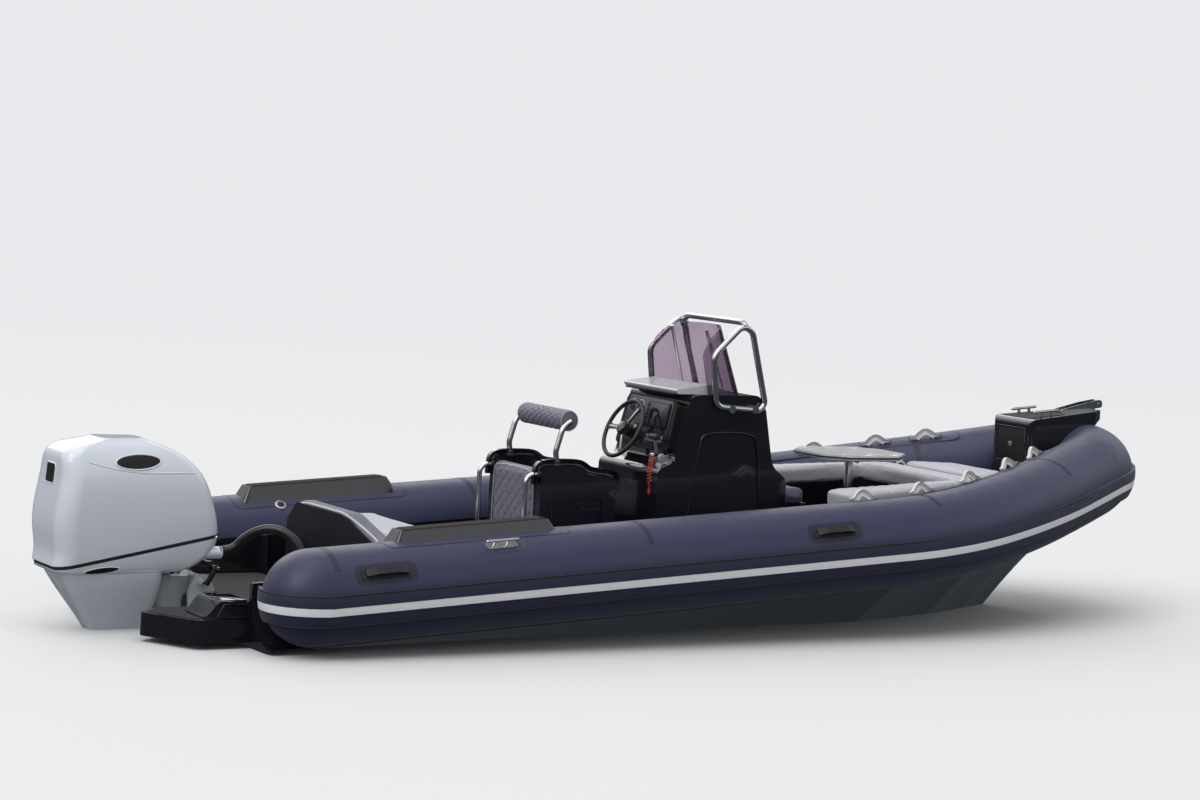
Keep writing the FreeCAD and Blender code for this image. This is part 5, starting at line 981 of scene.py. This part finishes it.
# windscreen: the same sheet, with a big round on its upper aft corners
sheet = {"centre": (3.400, 1.560), "radius": 0.262, "from": 96, "to": 184, "step": 8}
sheetBm = bmesh.new()
sheetBm.from_mesh(frame["nodes"]["windscreen"].data)
for deg in range(sheet["from"], sheet["to"], sheet["step"]):
    out = Vector((math.cos(math.radians(deg)), 0, math.sin(math.radians(deg))))
    at = Vector((sheet["centre"][0], 0, sheet["centre"][1])) + out * sheet["radius"]
    everything = sheetBm.verts[:] + sheetBm.edges[:] + sheetBm.faces[:]
    bmesh.ops.bisect_plane(sheetBm, geom=everything, plane_co=at, plane_no=out, clear_outer=True)
    bmesh.ops.holes_fill(sheetBm, edges=[edge for edge in sheetBm.edges if edge.is_boundary], sides=0)
addPiece("windscreenSheet", sheetBm, "boat", "acrylic", replaced=("windscreen",))

# cut-off cord: a small red curly cord that hangs from the switch beside the throttle
kill = {"exit": (2.846, -0.325, 1.030), "diameter": 0.0062, "turns": 10, "radius": 0.0135, "each": 8}
sag = ((2.832, -0.325, 1.022), (2.822, -0.322, 0.990), (2.818, -0.318, 0.940), (2.816, -0.320, 0.890),
       (2.815, -0.325, 0.845))
spine = routePoints(sag, steps=12)
helix = [Vector(kill["exit"]), Vector((2.838, -0.325, 1.029))]
total = kill["turns"] * kill["each"]
for step in range(total + 1):
    place = step / total * (len(spine) - 1)
    low = min(int(place), len(spine) - 2)
    at = spine[low].lerp(spine[low + 1], place - low)
    way = (spine[low + 1] - spine[low]).to_track_quat("Z", "Y")
    turn = 2 * math.pi * step / kill["each"]
    widen = kill["radius"] * min(1.0, step / 6, (total - step) / 6 + 0.05)
    helix.append(at + way @ Vector((widen * math.cos(turn), widen * math.sin(turn), 0)))
helix += [Vector((2.815, -0.325, 0.838)), Vector((2.815, -0.326, 0.826)), Vector((2.815, -0.327, 0.815))]
cordLine = routePoints(helix, steps=5)
clipBm, switchBm = bmesh.new(), bmesh.new()
addBox(clipBm, (-0.008, -0.004, -0.030), (0.008, 0.004, 0.004), 0.003, turn=moved(cordLine[-1]))
killClip = addPiece("cutOffClip", clipBm, "boat", "hose_black", "line_red")
addDrum(switchBm, 0.013, -0.012, 0.010, 28, 0.003,
        moved((2.852, -0.325, 1.030)) @ turnedBy(-90, "Y"))
addPiece("cutOffSwitch", switchBm, "boat", "panel_dark")
cordMesh = sweptMesh("cutOff", cordLine, kill["diameter"] / 2, round8=2)
killCord = addPiece("cutOffCord", None, "boat", "hose_black", "line_red", mesh=cordMesh)
print("console details")

# ---- table: dark edge, rings in the cup recesses; bow box and the ground tackle fittings ----
table = {"x": 4.510, "halfLong": 0.330, "halfWide": 0.300, "cut": 0.150, "top": 1.020, "thick": 0.032, "cup": 0.040}
hl, hw, cut = table["halfLong"], table["halfWide"], table["cut"]
corners = [(-hl, -hw + cut), (-hl + cut, -hw), (hl - cut, -hw), (hl, -hw + cut), (hl, hw - cut), (hl - cut, hw),
           (-hl + cut, hw), (-hl, hw - cut)]
middleZ = table["top"] - table["thick"] / 2
rimBm, cupBm = bmesh.new(), bmesh.new()
rimLine = []
for index, (x, y) in enumerate(corners):
    before, after = Vector(corners[index - 1]), Vector(corners[(index + 1) % 8])
    here = Vector((x, y))
    for toward in (before, after):
        spot = here + (toward - here).normalized() * 0.014
        rimLine.append(Vector((table["x"] + spot.x, spot.y, middleZ)))
addSweep(rimBm, rimLine + rimLine[:2], 0, flat=(table["thick"] - 0.006, 0.010))
addPiece("tableEdge", rimBm, "boat", "strake_rubber")
for x in (-0.200, 0, 0.200):
    for y in (-0.225, 0.225):
        cupLine = circleLine((table["x"] + x, y, table["top"]), table["cup"], (0, 1, 0), 30)
        addSweep(cupBm, cupLine, 0.0022, round8=3)
addPiece("tableCupRings", cupBm, "boat", "stainless")

bow = {"recess": (5.801, 0.150, 0.960, 1.190), "top": ((5.840, 0.160), (6.150, 0.118))}
boxSurface = surfaceOf("bow_box")
gripMatBm, frameBm = bmesh.new(), bmesh.new()
topPlace = facing((0, 0, 1.25), (0, 0, 1), (1, 0, 0))
(aftX, aftHalf), (frontX, frontHalf) = bow["top"]
gridPlate(gripMatBm, [(aftX, -aftHalf), (frontX, -frontHalf), (frontX, frontHalf), (aftX, aftHalf)], 0.0, 0.003, 0.05)
layOn(gripMatBm, boxSurface, topPlace)
addPiece("bowBoxGrip", gripMatBm, "boat", "gelcoat_dark", "deck_dark")
x, half, low, high = bow["recess"]
square = [(-half, low), (half, low), (half, high), (-half, high), (-half, low)]
addSweep(frameBm, [Vector((x - 0.001, y, z)) for y, z in square], 0.0045, round8=4)
addPiece("bowBoxRecessBead", frameBm, "boat", "gelcoat_dark")
recessPanelBm = bmesh.new()
addBox(recessPanelBm, (x - 0.0025, -half + 0.010, low + 0.010), (x + 0.004, half - 0.010, high - 0.010), 0.001)
addPiece("bowBoxRecess", recessPanelBm, "boat", "gelcoat_dark", "gap_black")
latchBm = bmesh.new()
addDrum(latchBm, 0.018, -0.002, 0.005, 28, 0.002, facing((x - 0.003, 0, 1.075), (-1, 0, 0), (0, 1, 0)))
for y in (-0.55, 0.55):
    addDrum(latchBm, 0.022, 0.0, 0.006, 28, 0.002, facing((4.05, y, 0.640), (-1, 0, 0), (0, 1, 0)))
addPiece("bowLatches", latchBm, "boat", "stainless")
print("table and bow details")

# ---- cushions: each one is blown up from its plain solid, and some then get sewn channels or diamonds ----
cushions = {
    # node: body, finish, voxel, pressure, furthest a point moves
    "bench_cushion": ("bench_lid_body", "cushion_light", 0.012, 4.0, 0.012),
    "bench_back_cushion": ("boat", "cushion_dark", 0.011, 3.0, 0.010),
    "helm_cushion": ("boat", "quilt_dark", 0.010, 4.0, 0.012),
    "helm_back_cushion": ("boat", "quilt_dark", 0.008, 2.5, 0.008),
    "console_seat_cushion": ("console_lid_body", "cushion_dark", 0.008, 4.0, 0.010),
    "lounge_cushions": ("boat", "cushion_light", 0.013, 3.0, 0.012),
    "bow_cushion": ("bow_lid_body", "cushion_light", 0.011, 3.0, 0.012),
}
# how much smaller a cushion starts on each side, and how the cloth is blown up
cloth = {"slimmer": 0.004, "tension": 20, "quality": 4, "frames": 18}


def plumpMesh(name, node, voxel, pressure, furthest):
    work = bmesh.new()
    work.from_mesh(frame["nodes"][node].data)
    bmesh.ops.remove_doubles(work, verts=work.verts, dist=1e-5)
    bmesh.ops.recalc_face_normals(work, faces=work.faces)
    mesh = meshFrom(work, name)
    obj = bpy.data.objects.new(name, mesh)
    scene.collection.objects.link(obj)
    remesh = obj.modifiers.new("remesh", "REMESH")
    remesh.mode = "VOXEL"
    remesh.voxel_size = voxel
    even = finalMesh(obj)
    obj.modifiers.clear()
    obj.data = even
    bpy.data.meshes.remove(mesh)
    normals = [Vector(item.vector) for item in even.vertex_normals]
    for vert, normal in zip(even.vertices, normals):
        vert.co -= normal * cloth["slimmer"]
    start = [vert.co.copy() for vert in even.vertices]
    modifier = obj.modifiers.new("cloth", "CLOTH")
    modifier.settings.use_pressure = True
    modifier.settings.uniform_pressure_force = pressure
    modifier.settings.effector_weights.gravity = 0
    modifier.settings.tension_stiffness = cloth["tension"]
    modifier.settings.quality = cloth["quality"]
    for step in range(1, cloth["frames"] + 1):
        scene.frame_set(step)
    blown = finalMesh(obj)
    obj.modifiers.clear()
    obj.data = blown
    bpy.data.meshes.remove(even)
    for vert, old in zip(blown.vertices, start):
        move = vert.co - old
        if move.length > furthest:
            vert.co = old + move.normalized() * furthest
    scene.frame_set(1)
    final = obj.data
    bpy.data.objects.remove(obj)
    return final


# sewn seams: straight channels across the boat, or diamonds, pressed into the face that looks that way
sewn = {
    # node: kind, pitch, depth, the way its face looks
    "helm_back_cushion": ("diamonds", 0.085, 0.007, (-1, 0, 0)),
    "helm_cushion": ("channels", 0.075, 0.005, (0, 0, 1)),
    "lounge_cushions": ("channels", 0.075, 0.006, (0, 0, 1)),
    "bow_cushion": ("channels", 0.075, 0.006, (0, 0, 1)),
}


def pressSeams(mesh, kind, pitch, depth, way):
    way = Vector(way)
    normals = [vert.normal.copy() for vert in mesh.vertices]
    for vert, normal in zip(mesh.vertices, normals):
        share = min(max(normal.dot(way) - 0.45, 0.0) * 3, 1.0)
        x, y, z = vert.co
        if kind == "channels":
            seam = abs(math.sin(math.pi * x / pitch))
        else:
            seam = min(abs(math.sin(math.pi * (y + z) / pitch)), abs(math.sin(math.pi * (y - z) / pitch)))
        vert.co -= way * (depth * share * (1 - min(seam / 0.6, 1.0)) ** 2)


for node, (body, look, voxel, pressure, furthest) in cushions.items():
    first, *others = node.split("_")
    name = first + "".join(word.capitalize() for word in others) + "Padded"
    cushionMesh = plumpMesh(name, node, voxel, pressure, furthest)
    if node in sewn:
        pressSeams(cushionMesh, *sewn[node])
    slotName = next(p["material_slot"] for p in frame["record"]["subparts"] if p["node"] == node)
    cushionPiece = addPiece(name, None, body, slotName, look, angle=80, replaced=(node,), mesh=cushionMesh)
    finer = cushionPiece.modifiers.new("finer", "SUBSURF")
    finer.levels = finer.render_levels = 1
    print("cushion", node, len(cushionMesh.vertices))
